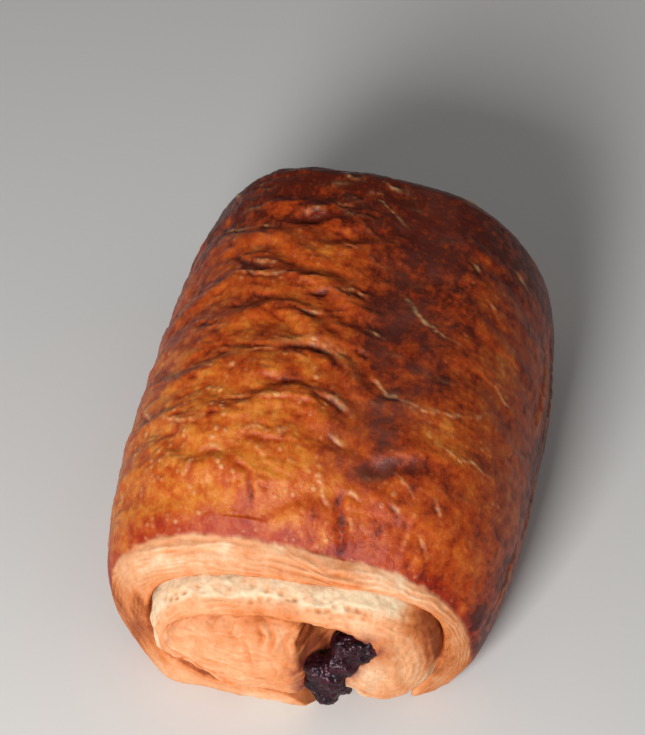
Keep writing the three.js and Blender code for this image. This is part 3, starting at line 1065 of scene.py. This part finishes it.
        # Darker towards the far end, and on the right: browning, and painted shade where the light falls off.
        bake = 0.20 + 0.36 * ramp(y, -26, 44) + 0.26 * ramp(y, 18, 18) + 0.20 * ramp(x, -2, 18)
        # Darker along the top, at the front right and down the right side: browning, and painted shade in the
        # valley and on the side away from the light.
        bake = bake + 0.22 * bell(x, 12, 9) * ramp(y, -28, 8) + 0.18 * ramp(x, 6, 8) * ramp(y, -14, -8)
        bake = bake + 0.32 * ramp(x, 31, 4) * low
        # Darkest at the far edge, most of all on its left: browning, and painted shade at the far end.
        bake = bake + blend(0.26, 0.12, right) * ramp(y, 27, 12) + 0.14 * ramp(y, 31, 5) * (1 - right)
        # Lighter at the far right, and at the foot of the left side.
        bake = bake - 0.12 * ramp(x, 17, 6) * ramp(y, 0, 8) - 0.20 * ramp(z, 8, -6) * (1 - ramp(x, 10, 8))
        for patch in BAKE_PATCHES:
            bake = bake + patch.bake * bell(x, patch.x, patch.reach_x) * bell(y, patch.y, patch.reach_y)
        return bake

    def dress(self, grid: Grid) -> dict[str, Array]:
        """Shapes the crust on a turn and gives the marks for its finish.

        Args:
            grid: The outer turn, whose points are moved.

        Returns:
            Marks named bake, violet, red and flake.
        """
        x, y, z = (grid.points[..., k] for k in range(3))
        on_crust = ramp(grid.past, 0.6, -3.0)
        s = np.broadcast_to(grid.along, x.shape)
        wiggle = 0.55 * self.grain.layered(3, x / 2.4, y / 2.4)
        top, side = ramp(z, 20, 8), ramp(x, 29, 4)
        relief = self.wrinkles(s, x, y, z)
        drawn = [(Stroke.draw(self.steps, x, y), top)]
        for strokes in (BRIGHT_LIPS, DARK_FURROWS, PALE_CRACKS, EDGE_FLAKES):
            drawn.append((Stroke.draw(strokes, x, y + wiggle), top))
        drawn.append((Stroke.draw(SIDE_FLAKES, y, z + wiggle), side))
        dashes = Stroke.draw(self.dashes(float(grid.along.max())), s, y + wiggle)
        drawn.append((dashes, blend(1.0, 0.4, ramp(x, 2, 9))))
        # Pale marks are flakes, cracks and painted highlights on the lips; dark marks are painted shade in
        # the furrows.
        flake, dark = np.zeros(x.shape), np.zeros(x.shape)
        for (height, pale, sunk), share in drawn:
            relief = relief + height * share
            flake = np.maximum(flake, pale * share)
            dark = np.maximum(dark, sunk * share)
        flake = flake * np.clip(0.7 + 1.2 * self.grain.layered(2, x / 0.9, y / 0.9, z / 0.9), 0, 1.4)
        cloud = self.grain.layered(3, x / 7, y / 7, z / 7)
        patches = self.grain.layered(3, x / 3.4 + 30, y / 2.8, z / 3.4)
        # Painted shade and light: darker in the furrows of the strokes and in the hollows of the relief,
        # lighter on its ridges, over random mottled browning.
        mottling_and_shade = 0.38 * dark + 0.10 * cloud + 0.24 * patches - 0.55 * np.clip(relief, -0.6, 0.4)
        bake = np.clip(self.browning_and_shade(x, y, z) + mottling_and_shade, 0, 1)
        edge = ramp(grid.past + 1.6 * cloud + 0.9 * patches, -4.2, 4.4)
        red = edge * ramp(z, 4, 8) * ramp(y, 16, -10)
        grid.points += grid.normals() * (relief * on_crust)[..., None]
        grid.points[..., 2] += self.folds(x, y, z) * grid.is_zone(Zone.OUTSIDE)
        violet = self.valley_cloud(x, y, z, cloud)
        return {"bake": bake, "violet": violet, "red": red, "flake": flake * on_crust}


# Crevices and fine lines on the near face: their dark is painted shade in the furrow and their pale is a
# painted highlight on the lip.
FACE_LINES = (
    Stroke(
        ((-32.0, 22.6), (-25.8, 28.6), (-18.7, 32.4), (-10.9, 34.3), (-4.1, 34.1)),
        0.20, 0.10, 0.28, 0.0, 0.35,
    ),
    Stroke(((-27.1, 26.1), (-21.9, 29.8), (-14.4, 32.2), (-7.6, 32.8)), 0.22, 0.10, 0.28, 0.0, 0.35),
    Stroke(((-7.7, 33.3), (0.9, 33.0), (10.3, 32.0), (19.4, 30.3)), 0.22, 0.10, 0.28, 0.0, 0.35),
    Stroke(((-3.7, 32.5), (5.8, 31.6), (14.2, 30.3), (21.6, 28.4)), 0.25, 0.12, 0.30, 0.0, 0.40),
    Stroke(
        ((-21.3, 13.0), (-17.4, 12.6), (-14.5, 11.2), (-9.9, 8.2), (-7.9, 7.7)),
        0.55, 0.25, 0.50, 0.3, 0.70,
    ),
    Stroke(((-21.4, 9.4), (-16.1, 8.8), (-10.9, 7.6), (-7.9, 7.7)), 0.60, 0.15, 0.50, 0.0, 0.80),
    Stroke(((-5.2, 21.0), (-4.2, 16.8), (-3.4, 13.1)), 0.35, 0.30, 0.60, 0.2, 0.30),
    Stroke(((-0.4, 23.6), (0.5, 21.9), (-0.4, 19.4)), 0.40, 0.30, 0.55, 0.2, 0.40),
    Stroke(((5.4, 22.7), (4.9, 21.4), (5.9, 19.6)), 0.40, 0.30, 0.55, 0.2, 0.50),
    Stroke(((-19.0, 16.2), (-14.0, 18.6), (-9.0, 19.4)), 0.30, 0.25, 0.55, 0.2, 0.25),
    Stroke(((-20.9, 9.6), (-15.9, 12.5), (-11.4, 11.3), (-8.0, 8.6)), 0.50, 0.30, 0.45, 0.3, 0.55),
    Stroke(((-15.7, 14.7), (-11.2, 14.4), (-7.2, 13.4), (-4.4, 12.8)), 0.35, 0.35, 0.50, 0.4, 0.35),
    Stroke(((-7.4, 23.2), (-7.6, 21.4), (-6.1, 19.8)), 0.35, 0.30, 0.45, 0.3, 0.40),
    Stroke(((-3.1, 23.6), (-1.4, 22.1), (-2.3, 19.5)), 0.45, 0.35, 0.45, 0.4, 0.45),
    Stroke(((3.4, 23.3), (2.4, 21.3), (3.4, 18.4)), 0.40, 0.30, 0.45, 0.3, 0.50),
    Stroke(((-0.5, 17.5), (0.8, 15.0), (0.2, 12.6)), 0.35, 0.30, 0.50, 0.3, 0.40),
)


@dataclass(frozen=True)
class Spot:
    """A round patch of the near end that is toasted more or less than the dough round it; some are painted
    shade and one a painted highlight.
    """

    x: float
    z: float
    reach: float
    toast: float
    strength: float = 0.9


FACE_SPOTS = (
    # Painted shade: the darker spots sit in a shallow pit on the left, along the crevice under the inner
    # turn, at a crevice end and on the core's lower right beside the chocolate; the last two toast the lobe.
    Spot(-26.7, 18.4, 1.6, 0.85),
    Spot(-6.3, 25.2, 2.0, 0.75, 0.7),
    Spot(-2.5, 26.0, 2.0, 0.80, 0.8),
    Spot(2.5, 26.6, 2.2, 0.80, 0.8),
    Spot(3.4, 14.6, 3.6, 0.68, 0.8),
    Spot(4.6, 9.5, 4.0, 0.62, 0.7),
    Spot(-8.3, 8.4, 2.2, 0.75, 0.8),
    # Painted highlight: the concave wall right of the chocolate, where the light falls, is kept pale cream.
    Spot(18.2, 15.6, 2.8, 0.02, 0.9),
    Spot(-14.0, 15.4, 5.0, 0.30, 0.5),
    Spot(23.0, 18.5, 4.5, 0.52, 0.7),
    Spot(20.5, 9.5, 3.0, 0.56, 0.7),
)


@dataclass
class CutDough:
    """The layered dough that shows at the ends: fine layers, crumples, pores and toasted edges, with painted
    shade in the grooves, pores and crevices and a painted highlight along the outer edge.
    """

    grain: Grain
    layer: float = 0.82
    step: float = 0.17
    lump: float = 0.35
    pores: float = 0.0
    bright_edge: float = 0.0
    toast: float = 0.36
    inside_toast_and_shade: float = 0.30
    warp: float = 0.6

    def dress(self, grid: Grid) -> dict[str, Array]:
        """Shapes the cut faces of a turn and gives the marks for their finish.

        Args:
            grid: The turn, whose points are moved.

        Returns:
            Marks named cut and toast.
        """
        x, y, z = (grid.points[..., k] for k in range(3))
        s = np.broadcast_to(grid.along, x.shape)
        ragged = 0.28 * self.grain.layered(3, s / 2.5, y / 9) + 0.14 * self.grain.at(s / 0.8, 4.0)
        cut = ramp(grid.past + ragged, -0.3, 0.9)
        down = grid.depth + self.warp * self.grain.layered(2, s / 8, grid.depth / 3, 3.0)
        phase = down / self.layer + 0.3 * self.grain.at(s / 2.5, 7.0)
        leaf = (0.5 + 0.5 * np.cos(2 * np.pi * phase)) ** 2
        shown = smooth(0.55 + 0.9 * self.grain.layered(2, s / 6.5, down / 2.2, 11.0))
        lumps = self.grain.layered(3, x / 4.2, y / 5, z / 4.2)
        fine = self.grain.layered(3, x / 1.1, y / 1.1, z / 1.1)
        relief = self.step * (leaf - 0.4) * shown + self.lump * lumps + 0.07 * fine
        share = np.clip(grid.depth / np.maximum(2 * grid.half, 0.1), 0, 1)
        # Toasting and painted shade: the inner half of each turn, towards the crevice inside it, is darker.
        toast = self.toast + self.inside_toast_and_shade * ramp(share, 0.45, 0.55)
        # Painted highlight: the outer edge, whose top catches the light, is kept paler.
        toast = toast - self.bright_edge * ramp(grid.depth, 2.4, -1.2)
        # Painted shade in the grooves between the layers and at the inner edge by the crevice, paler on the
        # ridges; the lumps toast it at random.
        toast = toast - 0.08 * leaf * shown + 0.10 * (1 - leaf) * shown
        toast = toast + 0.30 * ramp(share, 0.9, 0.1) + 0.14 * lumps
        if self.pores:
            nearest, _ = self.grain.cells(s / 1.7, down / 1.15)
            pit = bell(nearest, 0, 0.30) * smooth(0.5 + 1.3 * self.grain.at(s / 6, down / 2, 2.0))
            band = bell(share, 0.22, 0.20) * (x < 18)
            relief = relief - self.pores * pit * band
            # Painted shade inside the pores.
            toast = toast + 0.42 * pit * band
        shown_near = grid.is_zone(Zone.NEAR_FACE) * 1.0
        drawn, pale, dark = Stroke.draw(FACE_LINES, x, z)
        relief = relief + drawn * shown_near
        # Painted shade in the furrows of the face lines, and a painted highlight on their lips.
        toast = toast + (0.6 * dark - 0.3 * pale) * shown_near
        for spot in FACE_SPOTS:
            away = np.hypot(x - spot.x, z - spot.z) / spot.reach
            weight = spot.strength * bell(away, 0, 1) * shown_near
            toast = blend(toast, spot.toast + 0.10 * fine, weight)
        on_face = ramp(grid.past, -0.6, 1)
        grid.points += grid.normals() * (relief * on_face)[..., None]
        return {"cut": cut, "toast": np.clip(toast, 0, 1)}


@dataclass
class Lump:
    """A rounded lump of chocolate."""

    at: Triple
    size: Triple


NEAR_LUMPS = (
    Lump((16.7, -47.4, 20.2), (3.0, 2.4, 2.4)),
    Lump((19.0, -47.1, 19.3), (1.7, 0.9, 0.8)),
    Lump((12.6, -46.2, 17.6), (2.8, 3.4, 2.8)),
    Lump((13.9, -47.9, 20.4), (3.3, 2.9, 2.7)),
    Lump((15.4, -48.2, 18.9), (2.6, 2.4, 2.2)),
    Lump((12.7, -49.6, 17.0), (3.0, 2.7, 3.4)),
    Lump((8.6, -50.9, 15.6), (2.7, 2.5, 2.6)),
    Lump((10.6, -51.0, 14.0), (3.4, 2.8, 3.2)),
    Lump((8.3, -51.5, 12.2), (2.3, 2.0, 2.3)),
    Lump((9.8, -51.4, 9.6), (2.6, 2.4, 3.0)),
    Lump((12.3, -49.9, 10.6), (2.4, 2.3, 2.6)),
)
FAR_LUMPS = (
    Lump((12.0, 48.4, 19.0), (4.6, 2.8, 4.0)),
    Lump((8.6, 49.4, 16.6), (2.6, 2.2, 2.6)),
    Lump((14.8, 48.6, 22.4), (2.6, 2.4, 2.3)),
)


@dataclass
class Pastry:
    """The roll of dough: its outer turn with the crust, the turn inside it, the folded core and its heart."""

    form: RollForm
    grain: Grain
    tail_x: float = 25.5
    turn_end_x: float = 7.4
    end_taper: float = 0.045
    stain_reach: float = 0.8
    low_stain_reach: float = 2.5
    outer_round: Pair = (1.9, 0.5)
    inner_round: Pair = (2.6, 4.8)
    inner_out: Pair = (1.6, 0.3)
    core_round: Pair = (3.2, 1.0)
    core_out: Pair = (0.9, -5.5)
    under_level: float = 2.0
    under_share: float = 0.3
    inner_turn: tuple[Triple, ...] = (
        (14.6, 14.1, 1.9), (16.7, 13.9, 3.7), (19.7, 13.2, 5.9), (23.0, 13.5, 7.2), (24.2, 17.8, 5.8),
        (22.0, 22.6, 4.6), (17.0, 25.8, 3.6), (10.0, 27.0, 2.7), (2.5, 27.4, 2.6), (-5.0, 27.0, 2.8),
        (-13.0, 25.3, 3.0), (-18.8, 21.8, 2.9), (-21.8, 16.2, 2.3), (-21.8, 10.2, 1.8),
    )
    core: tuple[Triple, ...] = (
        (-21.2, 11.4, 1.6), (-17.5, 13.8, 4.7), (-12.0, 16.0, 6.7), (-5.0, 16.8, 7.6),
        (1.5, 17.1, 7.7), (6.0, 16.8, 6.6), (9.0, 17.2, 5.4), (12.0, 17.6, 3.8),
    )
    heart_centre: Pair = (16.6, 13.1)
    heart_half: Pair = (13.4, 12.4)
    heart_near: float = 43.0
    heart_far: float = 48.5
    heart_round: float = 8.0
    heart_roundness: float = 3.4
    marks: tuple[str, ...] = ("bake", "violet", "red", "flake", "cut", "toast", "stain")

    def outer_lines(self, count: int) -> tuple[Array, Array]:
        """The outer turn's lines, with even steps along the outside.

        Args:
            count: How many steps there are.

        Returns:
            The outer and the inner line, as x and z.
        """
        power = self.form.base_roundness / 2
        half = self.form.rim_half_width
        tail = -math.acos((self.tail_x / half) ** power)
        end = 1.5 * math.pi + math.asin((self.turn_end_x / half) ** power)
        angles = np.linspace(tail, end, 4001)
        places = self.form.outside(angles)
        lengths = walk(places, np.where(places[1:, 1] < self.under_level, self.under_share, 1.0))
        share = np.linspace(0, 1, count + 1)
        angles = np.interp(share * lengths[-1], lengths, angles)
        outer, inner = self.form.outside(angles), self.form.slit(angles)
        near_end = np.minimum(1, np.minimum(share, 1 - share) / self.end_taper)
        taper = blend(0.2, 1.0, np.sqrt(1 - (1 - near_end) ** 2))[:, None]
        return outer, blend(outer, inner, taper)

    @staticmethod
    def curve_lines(stations: tuple[Triple, ...], count: int) -> tuple[Array, Array]:
        """The lines on both sides of a smooth curve through stations.

        Args:
            stations: The middle of the dough as x and z, with half its thickness.
            count: How many steps there are.

        Returns:
            The line on the curve's right and the one on its left, as x and z.
        """
        known = np.array(stations)
        padded = np.concatenate((2 * known[:1] - known[1:2], known, 2 * known[-1:] - known[-2:-1]))
        t = np.linspace(0, len(known) - 1, count + 1)
        span = np.minimum(t.astype(int), len(known) - 2)
        u = (t - span)[:, None]
        p0, p1, p2, p3 = (padded[span + k] for k in range(4))
        square = 2 * p0 - 5 * p1 + 4 * p2 - p3
        cube = 3 * p1 - p0 - 3 * p2 + p3
        rows = 0.5 * (2 * p1 + (p2 - p0) * u + square * u**2 + cube * u**3)
        steps = walk(rows[:, :2])
        even = np.linspace(0, steps[-1], count + 1)
        rows = np.stack([np.interp(even, steps, rows[:, k]) for k in range(3)], axis=1)
        ahead = np.gradient(rows[:, :2], axis=0)
        ahead /= np.linalg.norm(ahead, axis=1, keepdims=True)
        out = np.stack((ahead[:, 1], -ahead[:, 0]), axis=1) * rows[:, 2:]
        return rows[:, :2] + out, rows[:, :2] - out

    def stain(self, points: Array) -> Array:
        """How far the chocolate has stained the dough at points."""
        stained = np.zeros(points.shape[:-1])
        for lump in NEAR_LUMPS + FAR_LUMPS:
            reach = self.low_stain_reach if lump.at[0] < 10 else self.stain_reach
            away = (points - np.array(lump.at)) / (np.array(lump.size) + reach)
            stained = np.maximum(stained, np.exp(-((np.linalg.norm(away, axis=-1) / STAIN_SPREAD) ** 4)))
        ragged = self.grain.layered(3, points[..., 0] / 2, points[..., 1] / 2, points[..., 2] / 2)
        return np.clip(stained * (0.75 + 0.6 * ragged), 0, 1)

    def finished(self, name: str, grid: Grid, marks: dict[str, Array], finish: Material) -> Object:
        """Makes a turn's object once its points have been moved.

        Args:
            name: The piece's name.
            grid: The turn.
            marks: The marks that it has, the others being 0.
            finish: Its material.

        Returns:
            The new object, which stands for the solid pastry.
        """
        grid.points[..., 2] = np.maximum(grid.points[..., 2], 0.0)
        marks["stain"] = self.stain(grid.points) * marks["cut"]
        shape = grid.points.shape[:2]
        full = {key: np.broadcast_to(marks.get(key, 0.0), shape).astype(float) for key in self.marks}
        piece = Shape.rings(name, grid.points, full)
        return self.attach(piece, finish)

    @staticmethod
    def shift_toast_and_shade(marks: dict[str, Array], more: Array) -> None:
        """Moves the cut dough towards toasted where more is above 0, and back where it is below, for toasting
        and for painted shade and light.
        """
        marks["toast"] = np.clip(marks["toast"] + more, 0, 1)

    @staticmethod
    def attach(piece: Object, finish: Material) -> Object:
        """Gives a dough piece its finish and lets it stand for the solid pastry."""
        piece.data.materials.append(finish)
        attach(piece, "root")
        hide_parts("pastry")
        return piece

    def outer(self, finish: Material) -> Object:
        """Builds the outer turn with the crust."""
        steps = Steps(along=304, outside=232, inside=12, near=46, far=34)
        outer, inner = self.outer_lines(steps.along)
        left_wall = ramp(inner[:, :1], -8, -10)
        closed = np.maximum(left_wall, ramp(inner[:, 1:], 12, -3) * (inner[:, :1] < 12))
        under = ramp(outer[:, :1], -15, 7) * (outer[:, 1:] < 4) * (outer[:, :1] < 15)
        edge, thin = self.outer_round
        rounding = blend(edge, thin, under)
        grid = Turn(self.form, outer, inner, 0.0, rounding, steps, Region.CRUST, closed, edge).grid()
        marks = CutDough(self.grain, layer=0.85, step=0.15, lump=0.20).dress(grid)
        x, z = grid.points[..., 0], grid.points[..., 2]
        # Painted shade and light on the near face: the low left, turned from the light, is darker and the low
        # middle under the hollow is kept paler against its shade; the rest toasts the right and the tail and
        # pales the upper left and the right nose.
        more = 0.48 * ramp(x, -21, -8) * ramp(z, 22, -10) + 0.20 * ramp(x, 26, 4) * ramp(z, 29, -8)
        more = more + 0.16 * ramp(x, 24, 3) * ramp(z, 10, -4)
        more = more - 0.16 * bell(x, -19, 12) * ramp(z, 22, 6) - 0.14 * bell(x, 21, 5) * ramp(z, 24, 4)
        more = more - 0.22 * ramp(x, -8, 5) * ramp(z, 9, -3) * (x < 12)
        self.shift_toast_and_shade(marks, more)
        marks.update(Crust(self.grain).dress(grid))
        return self.finished("outer_turn", grid, marks, finish)

    def inner(self, finish: Material) -> Object:
        """Builds the turn inside the outer one, with its curled tip beside the filling."""
        steps = Steps(along=340, outside=12, inside=12, near=72, far=44)
        outer, inner = self.curve_lines(self.inner_turn, steps.along)
        closed = ramp(outer[:, :1], -8, -10)
        right = ramp(outer[:, :1], 22, 6) * ramp(outer[:, 1:], 8, 6)
        sunk = ramp(outer[:, :1], -12, -10) * ramp(outer[:, 1:], 26, -14)
        out = blend(*self.inner_out, sunk)
        lobe = blend(*self.inner_round, right)
        edge = self.inner_round[0]
        grid = Turn(self.form, outer, inner, out, edge, steps, closed=closed, round_out=lobe).grid()
        dough = CutDough(self.grain, layer=1.1, step=0.12, lump=0.32, pores=0.5, bright_edge=0.34)
        marks = dough.dress(grid)
        # Painted shade: the lobe's right side is darker where it rolls back into the groove.
        self.shift_toast_and_shade(marks, 0.95 * right * ramp(grid.depth, 3.6, -3))
        return self.finished("inner_turn", grid, marks, finish)

    def middle(self, finish: Material) -> Object:
        """Builds the folded core on the left of the filling."""
        steps = Steps(along=130, outside=14, inside=14, near=110, far=50)
        outer, inner = self.curve_lines(self.core, steps.along)
        wall = ramp((outer + inner)[:, :1] / 2, 4.6, 6)
        joined = ramp(outer[:, :1], -16, 8)
        lower = outer - np.array((0.0, 1.0)) * joined
        out = blend(*self.core_out, wall)
        seam = blend(*self.core_round, joined)
        edge = self.core_round[0]
        grid = Turn(self.form, lower, inner, out, edge, steps, closed=1.0, round_out=seam).grid()
        dough = CutDough(self.grain, layer=1.5, step=0.22, lump=0.5, toast=0.46, inside_toast_and_shade=0.0, warp=1.8)
        marks = dough.dress(grid)
        self.shift_toast_and_shade(marks, 0.5 * smooth(wall * 2))
        return self.finished("core", grid, marks, finish)

    def heart(self, finish: Material) -> Object:
        """Builds the dough that closes the middle of the roll round the filling."""
        sides, caps = 72, 14
        turn = np.linspace(0, np.pi / 2, caps)[1:]
        radius = np.concatenate((np.sin(turn), np.sin(turn)[::-1]))
        back = self.heart_round * (1 - np.cos(turn))
        along = np.concatenate((self.heart_far - back, back[::-1] - self.heart_near))
        angle = np.linspace(0, 2 * np.pi, sides, endpoint=False)
        power = 2 / self.heart_roundness
        x = self.heart_centre[0] + self.heart_half[0] * radius[:, None] * signed_power(np.cos(angle), power)
        z = self.heart_centre[1] + self.heart_half[1] * radius[:, None] * signed_power(np.sin(angle), power)
        points = np.stack((x, np.broadcast_to(along[:, None], x.shape), z), axis=-1)
        shape = points.shape[:2]
        marks = {key: np.zeros(shape) for key in self.marks}
        marks["cut"] += 1.0
        marks["toast"] += 0.62
        marks["stain"] = self.stain(points)
        return self.attach(Shape.rings("heart", points, marks), finish)


@dataclass
class Filling:
    """The chocolate: a flattened bar through the roll, and what boiled out of it at both ends."""

    grain: Grain
    bar_centre: Pair = (11.4, 17.1)
    bar_half: Pair = (5.0, 4.2)
    bar_ends: Pair = (-43.4, 47.0)
    voxel: float = 0.32
    knobs: float = 0.36
    wrinkle: float = 0.62

    def build(self, finish: Material) -> Object:
        """Joins the bar and the lumps, and gives them their boiled surface.

        Args:
            finish: The chocolate's material.

        Returns:
            The new object, which stands for the solid chocolate.
        """
        shape = bmesh.new()
        for lump in NEAR_LUMPS + FAR_LUMPS:
            placed = Matrix.Translation(lump.at) @ Matrix.Diagonal((*lump.size, 1.0))
            bmesh.ops.create_icosphere(shape, subdivisions=4, radius=1.0, matrix=placed)
        low, high = self.bar_ends
        centre = (self.bar_centre[0], (low + high) / 2, self.bar_centre[1])
        turned = Matrix.Rotation(math.pi / 2, 4, "X")
        stretched = Matrix.Diagonal((self.bar_half[0], high - low, self.bar_half[1], 1.0))
        placed = Matrix.Translation(centre) @ stretched @ turned
        bmesh.ops.create_cone(shape, cap_ends=True, segments=32, radius1=1, radius2=1, depth=1, matrix=placed)
        bmesh.ops.scale(shape, vec=(MILLIMETRE,) * 3, verts=shape.verts)
        piece = add_shape("chocolate_filling", shape)
        remesh = piece.modifiers.new("join", "REMESH")
        remesh.mode = "VOXEL"
        remesh.voxel_size = self.voxel * MILLIMETRE
        bpy.context.view_layer.update()
        joined = bpy.data.meshes.new_from_object(piece.evaluated_get(bpy.context.evaluated_depsgraph_get()))
        piece.modifiers.clear()
        piece.data = joined
        self.boil(joined)
        joined.materials.append(finish)
        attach(piece, "root")
        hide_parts("chocolate")
        return piece

    def boil(self, mesh: bpy.types.Mesh) -> None:
        """Raises knobs and wrinkles on the joined chocolate."""
        count = len(mesh.vertices)
        flat, normal = np.zeros(count * 3, np.float32), np.zeros(count * 3, np.float32)
        mesh.vertices.foreach_get("co", flat)
        mesh.vertex_normals.foreach_get("vector", normal)
        points = flat.reshape(-1, 3) / MILLIMETRE
        x, y, z = points.T
        knobs = self.grain.layered(2, x / 2.0, y / 2.0, z / 2.0)
        wrinkles = np.abs(self.grain.layered(3, x / 1.3 + 9, y / 1.3, z / 1.3))
        relief = self.knobs * knobs - self.wrinkle * (wrinkles - 0.3)
        points = points + normal.reshape(-1, 3) * relief[:, None]
        mesh.vertices.foreach_set("co", (points * MILLIMETRE).astype(np.float32).reshape(-1))
        mesh.polygons.foreach_set("use_smooth", np.ones(len(mesh.polygons), dtype=bool))
        mesh.update()


@dataclass(frozen=True)
class Lamp:
    """A soft square light that looks at the roll."""

    name: str
    azimuth: float
    elevation: float
    distance: float
    size: float
    power: float
    colour: Colour = (1.0, 1.0, 1.0)

    def light(self, target: Vector) -> None:
        """Hangs the light.

        Args:
            target: What it looks at.
        """
        data = bpy.data.lights.new(self.name, "AREA")
        data.shape = "SQUARE"
        data.size = self.size
        data.energy = self.power
        data.color = self.colour
        lamp = add_object(self.name, data)
        back = outward(self.azimuth, self.elevation)
        lamp.location = target + back * self.distance
        lamp.rotation_euler = (-back).to_track_quat("-Z", "Y").to_euler()


@dataclass
class Studio:
    """The floor, the lights and the camera at the photograph's angle."""

    azimuth: float = 17.0
    elevation: float = 51.5
    roll: float = -5.0
    distance: float = 0.483
    focal: float = 2515.0
    target: Triple = (0.0, 0.0, 0.022)
    target_pixel: Pair = (334.2, 422.6)
    sensor: float = 36.0
    clip: Pair = (0.01, 20.0)
    floor_size: float = 4.0
    sky: float = 0.16
    lamps: tuple[Lamp, ...] = (
        Lamp("key", -8.0, 29.0, 0.54, 0.20, 3.25),
        Lamp("fill", 75.0, 50.0, 1.1, 0.8, 0.8),
    )

    def floor(self, finish: Material) -> Object:
        """Lays the floor."""
        shape = bmesh.new()
        bmesh.ops.create_grid(shape, x_segments=4, y_segments=4, size=self.floor_size / 2)
        piece = add_shape("floor", shape)
        piece.data.materials.append(finish)
        return piece

    def camera(self) -> Object:
        """Sets the camera, turned a little so that the roll lies where the photograph has it."""
        a, r = math.radians(self.azimuth), math.radians(self.roll)
        back = outward(self.azimuth, self.elevation)
        level = Vector((math.cos(a), math.sin(a), 0.0))
        right = level * math.cos(r) + back.cross(level) * math.sin(r)
        up = back.cross(right)
        eye = Vector(self.target) + back * self.distance
        aside = (PICTURE_WIDTH / 2 - self.target_pixel[0]) / self.focal * self.distance
        above = (self.target_pixel[1] - PICTURE_HEIGHT / 2) / self.focal * self.distance
        looked_at = Vector(self.target) + right * aside + up * above
        back = (eye - looked_at).normalized()
        right = (right - back * right.dot(back)).normalized()
        up = back.cross(right)
        data = bpy.data.cameras.new("camera")
        data.sensor_width = self.sensor
        data.lens = self.focal / max(PICTURE_WIDTH, PICTURE_HEIGHT) * data.sensor_width
        data.clip_start, data.clip_end = self.clip
        camera = add_object("camera", data)
        turned = Matrix((right, up, back)).transposed().to_4x4()
        camera.matrix_world = Matrix.Translation(eye) @ turned
        bpy.context.scene.camera = camera
        return camera

    def light(self) -> None:
        """Hangs the lamps and sets the even light of the room."""
        for lamp in self.lamps:
            lamp.light(Vector(self.target))
        world = bpy.data.worlds.new("studio")
        world.use_nodes = True
        background = world.node_tree.nodes["Background"]
        background.inputs["Color"].default_value = (1.0, 1.0, 1.0, 1.0)
        background.inputs["Strength"].default_value = self.sky
        bpy.context.scene.world = world
        bpy.context.scene.view_settings.view_transform = "Standard"


def report(piece: Object) -> None:
    """Logs a piece's name and how many faces it has."""
    log.info("%s: %d faces", piece.name, len(piece.data.polygons))


def main() -> None:
    """Builds the roll, its filling and the studio in order."""
    logging.basicConfig(level=logging.INFO, format="%(name)s: %(message)s")
    low, high = (Vector(corner) / MILLIMETRE for corner in CAD_BOX)
    form = RollForm(width=high.x - low.x, length=high.y - low.y, height=ROLL_HEIGHT)
    studio = Studio()
    studio.camera()
    studio.light()
    report(studio.floor(FloorFinish().material()))
    pastry = Pastry(form, Grain(SEED))
    finish = PastryFinish().material()
    for build in (pastry.outer, pastry.inner, pastry.middle, pastry.heart):
        report(build(finish))
    report(Filling(Grain(SEED + 1)).build(ChocolateFinish().material()))


if __name__ == "__main__":
    main()
